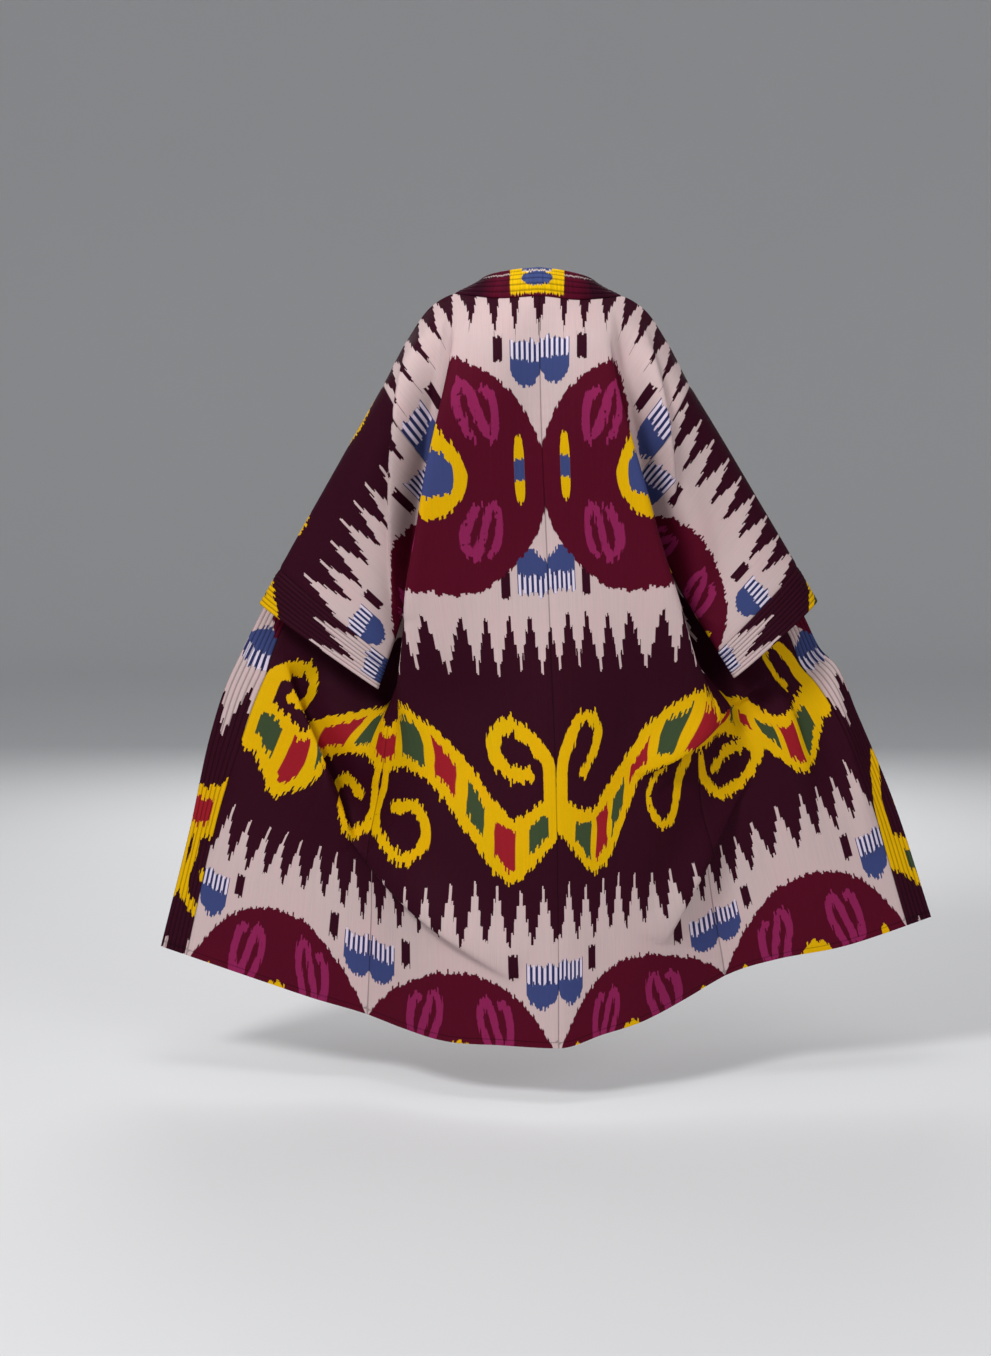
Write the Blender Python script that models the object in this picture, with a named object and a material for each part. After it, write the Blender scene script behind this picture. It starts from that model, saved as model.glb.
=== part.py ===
"""Chapan, a long open robe sewn from straight strips of ikat cloth, as worn.

Metres, +Z up. The wearer faces -Y and the origin is the nape of the neck, level
with the top of the collar. The fronts are held open to the sides at hand height.
Each half of the robe is a cloth surface over two flat cloth coordinates:
"level", measured down the cloth from the shoulder line, and "across", measured
over a strip from its inner selvedge. Key lines (centre back, fold crest, seam,
front edge) carry the form; the cloth between them is a smooth curve.
"""

import bpy
import numpy as np

# ---- flat cut
STRIP = 0.32  # finished width of a body strip
LENGTH = 1.25  # shoulder line to hem
ARMHOLE = 0.275  # depth of the armhole, half of its way round
SLEEVE = 0.33  # armhole seam to cuff seam
CUFF = 0.064
BAND = 0.046  # front bands and collar
NECK_WIDTH = 0.135  # centre back to the neck seam on the shoulder line
NECK_DROP = 0.05  # centre back neck seam below the shoulder line
NECKLINE_END = 0.30  # level where the slanted neckline reaches the selvedge
NECKLINE_CURVE = 1.3  # powers that bow the neckline and the back's neck seam
NECK_DROP_CURVE = 2.5
RING_FULLNESS = 0.3  # a sleeve's section is this much fuller towards its top line
# ---- cloth
WALL = 0.002
HALF_GAP = 0.00018  # what each piece stands back from a seam
MITRE_SHARE = 0.8  # of the wall's mitre, by which an edge stands back at a bent seam
FREE_MITRE = 0.0015  # mitre that the seam gap itself takes up
STEEPEST_MITRE = 0.5  # cosine of the most that a shared normal is taken to lean
UNDERARM_GAP = 0.0025  # more for the sleeve at the underarm, where three pieces meet
ROW_RISE = 0.0006  # ridges between the stitched rows of cuffs, bands and collar
COLLAR_ROLL = 0.0056
# ---- folds
TURN = 0.016  # cloth from a fold's crest to where it has turned under
TURN_SHARE = 0.5  # of the tuck's shift, taken by then
SHOULDER_EASE = 0.08  # level by which the front leaves the shoulder line
CREST_EASE = 0.025  # cloth from the neck-side column to the crest
CREST_OVERRUN = 0.003  # cloth from the crest to the column that carries it
BACK_TUCK_DEPTH = 0.25  # how far forward a tuck goes for each part that it goes aside
FRONT_TUCK_DEPTH = 0.8
SIDE_ROUNDS = 0.12  # cloth below the underarm in which front and back come to run on
FOLD_END = 0.03  # distance in which a fold dies away past its ends
BLADE = {"least": 0.004, "rise": 0.010, "level": 0.18, "spread": 0.12}  # shoulder blade
BAND_CURVES = (0.05, 0.20)  # levels over which the band goes from flat to curved
# ---- mesh
UPPER_ROWS = 12  # from the shoulder line down to the underarm
LOWER_ROWS = 16  # from the underarm down to the hem
NECK_COLUMNS = 6  # back columns inside the neck width
BACK_SPREAD = [3, 4, 5]  # columns to the crest, to the tuck, to the armhole
FRONT_SPREAD = [3, 4, 3, 2]  # to the inner fold, drag fold, its tuck, the band
PANEL_COLUMNS = sum(BACK_SPREAD)
BAND_COLUMNS = 12  # two for each stitched row of a band or of the collar
SLEEVE_RINGS = 9
CUFF_COLUMNS = 18  # two for each stitched row of a cuff
EVERY = slice(None)
CUT_HEADING = (0.31, 0.47, 0.83)  # rim quads are cut from their end further this way

# Centre back line: level, x, y, z
CENTRE = (
    (0.00, 0.000, 0.050, -0.010),
    (0.05, 0.000, 0.085, -0.054),
    (0.12, 0.000, 0.103, -0.120),
    (0.26, -0.003, 0.108, -0.257),
    (0.45, -0.012, 0.096, -0.443),
    (0.62, -0.019, 0.102, -0.612),
    (0.80, -0.026, 0.125, -0.790),
    (1.02, -0.030, 0.150, -1.007),
    (1.25, -0.031, 0.166, -1.229),
)

# The lines below give "out", the distance to the side, in place of x.
# Crest of the long back fold: level, across, out, y, z, tuck (cloth doubled back)
CREST = {
    "left": (
        (0.00, 0.160, 0.156, 0.000, -0.054, 0.000),
        (0.06, 0.148, 0.136, 0.056, -0.078, 0.000),
        (0.12, 0.148, 0.134, 0.096, -0.118, 0.016),
        (0.20, 0.162, 0.146, 0.116, -0.195, 0.034),
        (0.32, 0.187, 0.167, 0.114, -0.313, 0.046),
        (0.44, 0.210, 0.183, 0.102, -0.432, 0.046),
        (0.54, 0.232, 0.199, 0.090, -0.530, 0.042),
        (0.62, 0.252, 0.213, 0.074, -0.610, 0.030),
        (0.69, 0.270, 0.225, 0.052, -0.680, 0.012),
        (0.78, 0.262, 0.206, 0.062, -0.772, 0.000),
        (0.92, 0.215, 0.176, 0.096, -0.908, 0.000),
        (1.25, 0.190, 0.150, 0.126, -1.228, 0.000),
    ),
    "right": (
        (0.00, 0.160, 0.154, 0.000, -0.058, 0.000),
        (0.06, 0.132, 0.119, 0.058, -0.080, 0.000),
        (0.12, 0.122, 0.108, 0.098, -0.120, 0.012),
        (0.20, 0.140, 0.122, 0.116, -0.198, 0.028),
        (0.32, 0.170, 0.151, 0.114, -0.315, 0.040),
        (0.44, 0.206, 0.182, 0.098, -0.433, 0.042),
        (0.54, 0.238, 0.212, 0.082, -0.528, 0.038),
        (0.62, 0.260, 0.240, 0.062, -0.606, 0.028),
        (0.70, 0.283, 0.274, 0.036, -0.686, 0.010),
        (0.80, 0.262, 0.240, 0.050, -0.790, 0.000),
        (0.94, 0.215, 0.190, 0.090, -0.920, 0.000),
        (1.25, 0.190, 0.170, 0.118, -1.196, 0.000),
    ),
}

# Side seam below the underarm: level, out, y, z
SIDE_SEAM = {
    "left": (
        (0.275, 0.144, 0.000, -0.368),
        (0.33, 0.136, 0.006, -0.412),
        (0.42, 0.142, 0.016, -0.480),
        (0.52, 0.166, 0.022, -0.554),
        (0.62, 0.208, 0.016, -0.630),
        (0.72, 0.238, 0.006, -0.714),
        (0.82, 0.252, 0.006, -0.806),
        (0.93, 0.267, 0.014, -0.910),
        (1.08, 0.271, 0.028, -1.052),
        (1.25, 0.278, 0.034, -1.208),
    ),
    "right": (
        (0.275, 0.142, 0.000, -0.364),
        (0.33, 0.136, 0.006, -0.408),
        (0.42, 0.148, 0.014, -0.476),
        (0.52, 0.188, 0.018, -0.552),
        (0.62, 0.246, 0.006, -0.626),
        (0.72, 0.300, 0.000, -0.708),
        (0.82, 0.303, 0.004, -0.798),
        (0.93, 0.297, 0.014, -0.892),
        (1.08, 0.293, 0.025, -1.014),
        (1.25, 0.307, 0.030, -1.144),
    ),
}

# Inner fold of the opened front: level, across, out, y, z
INNER_FOLD = {
    "left": (
        (0.00, 0.090, 0.206, 0.000, -0.120),
        (0.10, 0.110, 0.122, -0.094, -0.186),
        (0.20, 0.125, 0.084, -0.112, -0.262),
        (0.30, 0.135, 0.084, -0.112, -0.350),
        (0.42, 0.120, 0.122, -0.088, -0.456),
        (0.56, 0.110, 0.176, -0.074, -0.580),
        (0.68, 0.100, 0.240, -0.050, -0.690),
        (0.78, 0.090, 0.300, -0.018, -0.770),
        (0.92, 0.090, 0.330, -0.002, -0.880),
        (1.08, 0.090, 0.350, 0.010, -1.026),
        (1.25, 0.090, 0.366, 0.016, -1.186),
    ),
    "right": (
        (0.00, 0.090, 0.204, 0.000, -0.126),
        (0.10, 0.110, 0.120, -0.094, -0.188),
        (0.20, 0.125, 0.084, -0.112, -0.262),
        (0.30, 0.135, 0.086, -0.112, -0.350),
        (0.42, 0.120, 0.128, -0.088, -0.456),
        (0.56, 0.110, 0.196, -0.074, -0.576),
        (0.68, 0.100, 0.270, -0.050, -0.676),
        (0.78, 0.090, 0.338, -0.024, -0.748),
        (0.92, 0.090, 0.350, -0.006, -0.862),
        (1.08, 0.090, 0.364, 0.004, -0.988),
        (1.25, 0.090, 0.392, 0.010, -1.122),
    ),
}

# Drag fold that runs down from the held edge: level, across, out, y, z, tuck
DRAG_FOLD = {
    "left": (
        (0.00, 0.160, 0.156, 0.000, -0.054, 0.000),
        (0.10, 0.200, 0.142, -0.080, -0.126, 0.000),
        (0.20, 0.220, 0.140, -0.118, -0.206, 0.000),
        (0.30, 0.230, 0.160, -0.124, -0.290, 0.000),
        (0.42, 0.225, 0.215, -0.106, -0.402, 0.000),
        (0.56, 0.215, 0.280, -0.092, -0.528, 0.000),
        (0.68, 0.200, 0.340, -0.056, -0.652, 0.008),
        (0.78, 0.195, 0.388, -0.022, -0.744, 0.018),
        (0.88, 0.165, 0.372, -0.006, -0.842, 0.014),
        (1.02, 0.160, 0.404, -0.006, -0.960, 0.004),
        (1.25, 0.170, 0.440, -0.004, -1.166, 0.000),
    ),
    "right": (
        (0.00, 0.160, 0.154, 0.000, -0.058, 0.000),
        (0.10, 0.200, 0.140, -0.080, -0.130, 0.000),
        (0.20, 0.220, 0.138, -0.118, -0.208, 0.000),
        (0.30, 0.230, 0.158, -0.124, -0.292, 0.000),
        (0.42, 0.225, 0.215, -0.106, -0.402, 0.000),
        (0.56, 0.215, 0.282, -0.092, -0.524, 0.000),
        (0.68, 0.205, 0.352, -0.056, -0.634, 0.010),
        (0.78, 0.205, 0.412, -0.030, -0.704, 0.018),
        (0.88, 0.200, 0.440, -0.022, -0.792, 0.010),
        (1.02, 0.190, 0.450, -0.016, -0.904, 0.002),
        (1.25, 0.190, 0.494, -0.012, -1.108, 0.000),
    ),
}

# Free edge of the front band: level, out, y, z. The hand holds it at level 0.76.
FRONT_EDGE = {
    "left": (
        (0.00, 0.095, -0.004, -0.026),
        (0.05, 0.124, -0.026, -0.044),
        (0.10, 0.158, -0.050, -0.084),
        (0.20, 0.226, -0.078, -0.152),
        (0.32, 0.290, -0.090, -0.250),
        (0.45, 0.352, -0.092, -0.364),
        (0.60, 0.422, -0.082, -0.494),
        (0.76, 0.490, -0.062, -0.628),
        (0.80, 0.508, -0.068, -0.664),
        (0.90, 0.541, -0.080, -0.758),
        (1.05, 0.578, -0.080, -0.918),
        (1.25, 0.627, -0.060, -1.116),
    ),
    "right": (
        (0.00, 0.095, -0.004, -0.030),
        (0.05, 0.123, -0.026, -0.049),
        (0.10, 0.156, -0.050, -0.090),
        (0.20, 0.218, -0.078, -0.162),
        (0.32, 0.280, -0.090, -0.258),
        (0.45, 0.342, -0.092, -0.368),
        (0.60, 0.408, -0.082, -0.490),
        (0.76, 0.470, -0.062, -0.616),
        (0.80, 0.492, -0.068, -0.640),
        (0.90, 0.530, -0.080, -0.722),
        (1.05, 0.590, -0.078, -0.862),
        (1.25, 0.658, -0.060, -1.066),
    ),
}

# Sleeve: share of the way down it, then its top line (out, y, z), its underarm line
# (out, y, z) and half of its thickness
SLEEVE_LINES = {
    "left": (
        (0.00, 0.247, 0.000, -0.190, 0.144, 0.000, -0.368, 0.075),
        (0.25, 0.299, -0.006, -0.278, 0.180, 0.002, -0.434, 0.052),
        (0.50, 0.350, -0.014, -0.366, 0.206, 0.010, -0.520, 0.036),
        (0.75, 0.402, -0.022, -0.454, 0.232, 0.017, -0.602, 0.026),
        (1.00, 0.453, -0.030, -0.541, 0.258, 0.022, -0.676, 0.020),
    ),
    "right": (
        (0.00, 0.241, 0.000, -0.190, 0.142, 0.000, -0.364, 0.075),
        (0.25, 0.296, -0.006, -0.277, 0.188, 0.002, -0.436, 0.054),
        (0.50, 0.350, -0.014, -0.364, 0.230, 0.010, -0.518, 0.040),
        (0.75, 0.403, -0.022, -0.450, 0.275, 0.017, -0.592, 0.032),
        (1.00, 0.455, -0.030, -0.537, 0.316, 0.022, -0.658, 0.030),
    ),
}

# Collar's free edge round the back of the neck: share of the way from the centre
# back to the shoulder line, out, y, z
COLLAR_EDGE = {
    "left": (
        (0.00, 0.000, 0.055, -0.008),
        (0.40, 0.044, 0.048, -0.012),
        (0.75, 0.080, 0.024, -0.018),
        (1.00, 0.095, -0.004, -0.026),
    ),
    "right": (
        (0.00, 0.000, 0.055, -0.008),
        (0.40, 0.044, 0.048, -0.013),
        (0.75, 0.080, 0.024, -0.021),
        (1.00, 0.095, -0.004, -0.030),
    ),
}

# Folds pulled into the cloth, as ridges towards the back. Each runs from its start by
# its middle to its end, given as (out, z). inner and outer are its widths towards the
# robe's middle and away from it, rise its height and lean its overhang.
FOLD_COLUMNS = ("cloth", "start", "middle", "end", "inner", "outer", "rise", "lean")
FOLDS = {
    "left": (
        ("sleeve", (0.190, -0.130), (0.218, -0.330), (0.212, -0.560), 0.034, 0.014, 0.020, 0.008),
        ("sleeve", (0.250, -0.250), (0.290, -0.360), (0.345, -0.500), 0.030, 0.030, 0.007, 0.000),
        ("skirt", (0.400, -0.700), (0.268, -1.000), (0.030, -1.140), 0.055, 0.022, 0.022, 0.008),
        ("skirt", (0.262, -0.690), (0.248, -0.750), (0.266, -0.840), 0.012, 0.020, 0.012, 0.000),
        ("skirt", (0.470, -0.680), (0.500, -0.860), (0.520, -1.100), 0.030, 0.034, 0.009, 0.000),
    ),
    "right": (
        ("sleeve", (0.182, -0.150), (0.208, -0.290), (0.222, -0.420), 0.026, 0.014, 0.012, 0.004),
        ("sleeve", (0.146, -0.090), (0.152, -0.160), (0.168, -0.260), 0.012, 0.014, -0.008, 0.000),
        ("sleeve", (0.246, -0.330), (0.292, -0.450), (0.270, -0.560), 0.024, 0.030, -0.010, 0.000),
        ("skirt", (0.420, -0.660), (0.290, -0.760), (0.150, -0.830), 0.040, 0.020, 0.016, 0.004),
        ("skirt", (0.310, -0.880), (0.262, -1.000), (0.190, -1.110), 0.036, 0.026, 0.010, 0.000),
        ("skirt", (0.476, -0.640), (0.508, -0.760), (0.560, -0.960), 0.018, 0.024, 0.014, 0.004),
    ),
}

SIDES = {"left": 1.0, "right": -1.0}
CLOTH_ROUGHNESS = 0.72
COLOURS = {
    "back": (0.105, 0.012, 0.035),
    "front": (0.060, 0.010, 0.024),
    "sleeve": (0.050, 0.008, 0.022),
    "cuff": (0.560, 0.420, 0.400),
    "collar": (0.600, 0.380, 0.020),
    "band": (0.080, 0.012, 0.030),
}


# ---- curves


def hermite(knots, points, slopes, at):
    """Cubic through the points at the knots, which may differ from place to place."""
    result = np.zeros(np.shape(at) + (3,))
    for i in range(len(knots) - 1):
        last = i == len(knots) - 2
        inside = (at >= knots[i] if i else at < np.inf) & (at < knots[i + 1] if not last else True)
        step = (knots[i + 1] - knots[i])[..., None]
        t = ((at - knots[i]) / (knots[i + 1] - knots[i]))[..., None]
        value = (
            (1 + 2 * t) * (1 - t) ** 2 * points[i]
            + t * (1 - t) ** 2 * step * slopes[i]
            + t**2 * (3 - 2 * t) * points[i + 1]
            + t**2 * (t - 1) * step * slopes[i + 1]
        )
        result = np.where(inside[..., None], value, result)
    return result


def bend(knots, points):
    """Slope at each knot: that of the parabola through it and its neighbours."""
    chords = [
        (points[i + 1] - points[i]) / (knots[i + 1] - knots[i])[..., None]
        for i in range(len(knots) - 1)
    ]
    slopes = [chords[0]]
    for i in range(1, len(knots) - 1):
        before = (knots[i] - knots[i - 1])[..., None]
        after = (knots[i + 1] - knots[i])[..., None]
        slopes.append((chords[i] * before + chords[i - 1] * after) / (before + after))
    return slopes + [chords[-1]]


def along(rows, level):
    """The rows' columns as smooth curves of their first column, read at the level."""
    table = np.array(rows)
    places = table[:, 0]
    columns = table[:, 1:]
    chords = np.diff(columns, axis=0) / np.diff(places)[:, None]
    before = np.diff(places)[:-1, None]
    after = np.diff(places)[1:, None]
    inner = (chords[1:] * before + chords[:-1] * after) / (before + after)
    slopes = np.vstack([chords[:1], inner, chords[-1:]])
    i = np.clip(np.searchsorted(places, level, side="right") - 1, 0, len(places) - 2)
    step = (places[i + 1] - places[i])[..., None]
    t = (level - places[i])[..., None] / step
    return (
        (1 + 2 * t) * (1 - t) ** 2 * columns[i]
        + t * (1 - t) ** 2 * step * slopes[i]
        + t**2 * (3 - 2 * t) * columns[i + 1]
        + t**2 * (t - 1) * step * slopes[i + 1]
    )


def placed(values, side):
    """(out, y, z) columns as points on that side of the robe."""
    return values[..., :3] * np.array([SIDES[side], 1.0, 1.0])


def ramp(value, start, end):
    t = np.clip((value - start) / (end - start), 0.0, 1.0)
    return t * t * (3 - 2 * t)


# ---- sleeve and armhole


def ring_points(side, share, way, front):
    """Points on the sleeve. share: 0 at the armhole, 1 at the cuff's end.
    way: 0 on the top line, 1 at the underarm, along the back half or the front half."""
    lines = along(SLEEVE_LINES[side], share)
    top = placed(lines[..., 0:3], side)
    under = placed(lines[..., 3:6], side)
    centre = (top + under) / 2
    half = (top - under) / 2
    thick = lines[..., 6]
    angles = np.linspace(0.0, np.pi, 97)
    tall = np.linalg.norm(half, axis=-1)[..., None] * np.cos(angles)
    deep = thick[..., None] * np.sin(angles) * (1 + RING_FULLNESS * np.cos(angles))
    steps = np.hypot(np.diff(tall), np.diff(deep))
    run = np.concatenate([np.zeros(steps.shape[:-1] + (1,)), np.cumsum(steps, -1)], -1)
    run = run / run[..., -1:]
    wanted = np.broadcast_to(way, thick.shape)
    found = np.empty(thick.shape)
    for index in np.ndindex(*thick.shape):
        found[index] = np.interp(wanted[index], run[index], angles)
    sign = -1.0 if front else 1.0
    depth = sign * thick * np.sin(found) * (1 + RING_FULLNESS * np.cos(found))
    points = centre + half * np.cos(found)[..., None]
    points[..., 1] += depth
    return points


# ---- body


def neckline(level):
    """Cloth cut off the front strip's inner side, from the neck down to its end."""
    return NECK_WIDTH * np.clip(1 - level / NECKLINE_END, 0.0, 1.0) ** NECKLINE_CURVE


def seam_line(side, level, front):
    """The armhole seam down to the underarm, then the side seam."""
    upper = ring_points(
        side, np.zeros(np.shape(level)), np.clip(level / ARMHOLE, 0.0, 1.0), front
    )
    lower = placed(along(SIDE_SEAM[side], np.maximum(level, ARMHOLE)), side)
    return np.where((level < ARMHOLE)[..., None], upper, lower)


def with_tuck(knots, points, after, turn, tuck_shift):
    """Adds two knots past knot number `after`, moved off the curve: one where the cloth
    turns under the crest, one halfway on at the bottom of the tuck."""
    slopes = bend(knots, points)
    turn_knot = knots[after] + TURN
    tuck_knot = (knots[after] + knots[after + 1]) / 2
    turned = hermite(knots, points, slopes, turn_knot) + TURN_SHARE * turn
    tucked = hermite(knots, points, slopes, tuck_knot) + tuck_shift
    return (
        knots[: after + 1] + [turn_knot, tuck_knot] + knots[after + 1 :],
        points[: after + 1] + [turned, tucked] + points[after + 1 :],
    )


def body_lines(side, level):
    """Knots and points of the whole half section, from the centre back round to the
    front edge. The side seam is knot 4; above the underarm the front has its own."""
    out = SIDES[side]
    centre = along(CENTRE, level)
    crest = along(CREST[side], level)
    inner = along(INNER_FOLD[side], level)
    drag = along(DRAG_FOLD[side], level)
    edge = placed(along(FRONT_EDGE[side], level), side)
    back_seam = seam_line(side, level, False)
    front_seam = seam_line(side, level, True)

    zero = np.zeros_like(level)
    blade = BLADE["least"] + BLADE["rise"] * np.exp(
        -(((level - BLADE["level"]) / BLADE["spread"]) ** 2)
    )
    crest_point = placed(crest[..., 1:4], side)
    middle = (centre + crest_point) / 2 + np.stack([zero, blade, zero], -1)
    tuck = np.maximum(crest[..., 4], 0.0)
    back_knots = [zero, crest[..., 0] / 2, crest[..., 0], zero + STRIP]
    back_points = [centre, middle, crest_point, back_seam]
    shift = np.stack([-out * tuck, -BACK_TUCK_DEPTH * tuck, zero], -1)
    back_knots, back_points = with_tuck(back_knots, back_points, 2, shift, shift)

    width = STRIP - neckline(level) + BAND
    drag_tuck = np.maximum(drag[..., 4], 0.0)
    front_knots = [zero, inner[..., 0], drag[..., 0], width]
    front_points = [front_seam, placed(inner[..., 1:4], side), placed(drag[..., 1:4], side), edge]
    shift = np.stack([-out * drag_tuck, -FRONT_TUCK_DEPTH * drag_tuck, zero], -1)
    front_knots, front_points = with_tuck(front_knots, front_points, 2, shift, shift)
    return back_knots, back_points, front_knots, front_points


def body_points(side, level, across, front):
    """Points of the back (across from the centre back) or of the front with its band
    (across from the side seam)."""
    back_knots, back_points, front_knots, front_points = body_lines(side, level)
    back_slopes = bend(back_knots, back_points)
    front_slopes = bend(front_knots, front_points)
    back_slopes[0] = back_slopes[0] * np.array([1.0, 0.0, 0.0])
    joined_knots = [k - STRIP for k in back_knots] + front_knots[1:]
    joined = bend(joined_knots, back_points + front_points[1:])[len(back_knots) - 1]
    share = ramp(level, ARMHOLE, ARMHOLE + SIDE_ROUNDS)[..., None]
    back_slopes[-1] = back_slopes[-1] * (1 - share) + joined * share
    front_slopes[0] = front_slopes[0] * (1 - share) + joined * share
    if front:
        return hermite(front_knots, front_points, front_slopes, across)
    return hermite(back_knots, back_points, back_slopes, across)


def neck_drop(across):
    """How far the back's neck seam lies below the shoulder line."""
    return NECK_DROP * (1 - np.clip(across / NECK_WIDTH, 0.0, 1.0) ** NECK_DROP_CURVE)


def body_levels():
    upper = np.linspace(0.0, ARMHOLE, UPPER_ROWS + 1)
    lower = np.linspace(ARMHOLE, LENGTH, LOWER_ROWS + 1)
    return np.concatenate([upper, lower[1:]])


def spread(stops, counts):
    """Columns between the stops, evenly in each stretch, with so many in each."""
    runs = [
        a + (b - a) * np.linspace(0.0, 1.0, count + 1)[1:]
        for a, b, count in zip(stops, stops[1:], counts)
    ]
    return np.concatenate([stops[0]] + runs, axis=1)


def back_columns(side, level):
    """Where each column lies across the back: the columns follow the fold's crest."""
    crest = along(CREST[side], level)[:, 0][:, None]
    tuck = (crest + STRIP) / 2
    zero = np.zeros_like(crest)
    stops = [zero, crest - CREST_EASE, crest + CREST_OVERRUN, tuck, zero + STRIP]
    return spread(stops, [NECK_COLUMNS] + BACK_SPREAD)


def front_columns(side, level):
    """Where each column lies across the front, from the side seam to the free edge."""
    inner = along(INNER_FOLD[side], level)[:, 0][:, None]
    drag = along(DRAG_FOLD[side], level)[:, 0][:, None]
    band_seam = STRIP - neckline(level)[:, None]
    tuck = (drag + 2 * band_seam) / 3
    stops = [0 * drag, inner, drag + CREST_OVERRUN, tuck, band_seam, band_seam + BAND]
    return spread(stops, FRONT_SPREAD + [BAND_COLUMNS])


def back_grid(side):
    levels = body_levels()
    across = back_columns(side, levels)
    level = np.broadcast_to(levels[:, None], across.shape)
    lowered = neck_drop(across) * (1 - np.clip(level / ARMHOLE, 0.0, 1.0))
    return body_points(side, level + lowered, across, False)


def front_grid(side, back):
    """The front from the side seam to the band's free edge. It is eased onto the back's
    first row, which is the shoulder line."""
    levels = body_levels()
    across = front_columns(side, levels)
    shoulder = STRIP - back_columns(side, levels[:1])[:, NECK_COLUMNS:][:, ::-1]
    share = ramp(levels, 0.0, 1.5 * SHOULDER_EASE)[:, None]
    panel = across[:, : PANEL_COLUMNS + 1]
    across[:, : PANEL_COLUMNS + 1] = shoulder * (1 - share) + panel * share
    level = np.broadcast_to(levels[:, None], across.shape)
    grid = body_points(side, level, across, True)
    off = np.zeros(grid.shape[1:])
    off[: PANEL_COLUMNS + 1] = back[0, NECK_COLUMNS:][::-1] - grid[0, : PANEL_COLUMNS + 1]
    off[PANEL_COLUMNS:] = off[PANEL_COLUMNS] * np.linspace(1.0, 0.0, BAND_COLUMNS + 1)[:, None]
    fade = 1 - ramp(levels, 0.0, SHOULDER_EASE)
    grid += off * fade[:, None, None]
    band = grid[:, PANEL_COLUMNS:]
    rise = np.linspace(0.0, 1.0, BAND_COLUMNS + 1)[:, None]
    flat = band[:, :1] + (band[:, -1:] - band[:, :1]) * rise
    curved = ramp(levels, *BAND_CURVES)[:, None, None]
    band += (flat - band) * (1 - curved)
    return grid


def collar_grid(backs, fronts):
    """The collar round the back of the neck, from the right shoulder line to the left:
    rows from the neck seam to the free edge. Its ends are the tops of the bands."""
    halves = []
    for side in ("right", "left"):
        seam = backs[side][0, : NECK_COLUMNS + 1]
        share = np.linspace(0.0, 1.0, NECK_COLUMNS + 1)
        edge = placed(along(COLLAR_EDGE[side], share), side)
        rise = np.linspace(0.0, 1.0, BAND_COLUMNS + 1)[:, None, None]
        roll = COLLAR_ROLL * np.sin(np.pi * rise) * np.array([0.0, 1.0, 1.0])
        half = seam + (edge - seam) * rise + roll * (1 - share[:, None] ** 4)
        band_top = fronts[side][0, PANEL_COLUMNS:]
        halves.append(half + (band_top - half[:, -1])[:, None] * share[:, None] ** 3)
    return np.concatenate([halves[0][:, ::-1], halves[1][:, 1:]], axis=1)


def sleeve_grid(side):
    """Rings from the armhole to the cuff's end: rows run down the sleeve, columns go
    round it from the top line over the back to the underarm and up the front."""
    sleeve_end = SLEEVE / (SLEEVE + CUFF)
    share = np.concatenate(
        [
            np.linspace(0.0, sleeve_end, SLEEVE_RINGS + 1),
            np.linspace(sleeve_end, 1.0, CUFF_COLUMNS + 1)[1:],
        ]
    )
    way = np.linspace(0.0, 1.0, UPPER_ROWS + 1)
    share_back, way_back = np.meshgrid(share, way, indexing="ij")
    back = ring_points(side, share_back, way_back, False)
    front = ring_points(side, share_back, way_back, True)
    return np.concatenate([back, front[:, -2:0:-1]], axis=1)


# ---- folds


def fold_shift(points, side, cloths):
    """What the folds of these cloths add to the points: each is a ridge whose height
    falls off on both sides of a bent line in the robe's breadth and height."""
    shift = np.zeros(points.shape)
    flat = points[..., [0, 2]] * np.array([SIDES[side], 1.0])
    run = np.linspace(0.0, 1.0, 41)[:, None]
    for row in FOLDS[side]:
        fold = dict(zip(FOLD_COLUMNS, row))
        if fold["cloth"] not in cloths:
            continue
        start, middle, end = (np.array(fold[key]) for key in ("start", "middle", "end"))
        control = 2 * middle - (start + end) / 2
        line = (1 - run) ** 2 * start + 2 * run * (1 - run) * control + run**2 * end
        slope = np.gradient(line, axis=0)
        slope /= np.linalg.norm(slope, axis=1)[:, None]
        away = flat[..., None, :] - line
        nearest = np.argmin((away**2).sum(-1), axis=-1)
        gap = np.take_along_axis(away, nearest[..., None, None], axis=-2)[..., 0, :]
        heading = slope[nearest]
        offset = gap[..., 0] * -heading[..., 1] + gap[..., 1] * heading[..., 0]
        width = np.where(offset > 0, fold["outer"], fold["inner"])
        place = nearest / (len(run) - 1)
        past = (gap * heading).sum(-1)
        taper = np.sin(np.pi * (0.08 + 0.92 * place)) ** 0.7
        taper *= np.exp(-((past / FOLD_END) ** 2))
        weight = taper * np.exp(-((offset / width) ** 2))
        shift[..., 1] += fold["rise"] * weight
        shift[..., 0] -= SIDES[side] * fold["lean"] * weight * heading[..., 1]
        shift[..., 2] += fold["lean"] * weight * heading[..., 0]
    return shift


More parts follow.
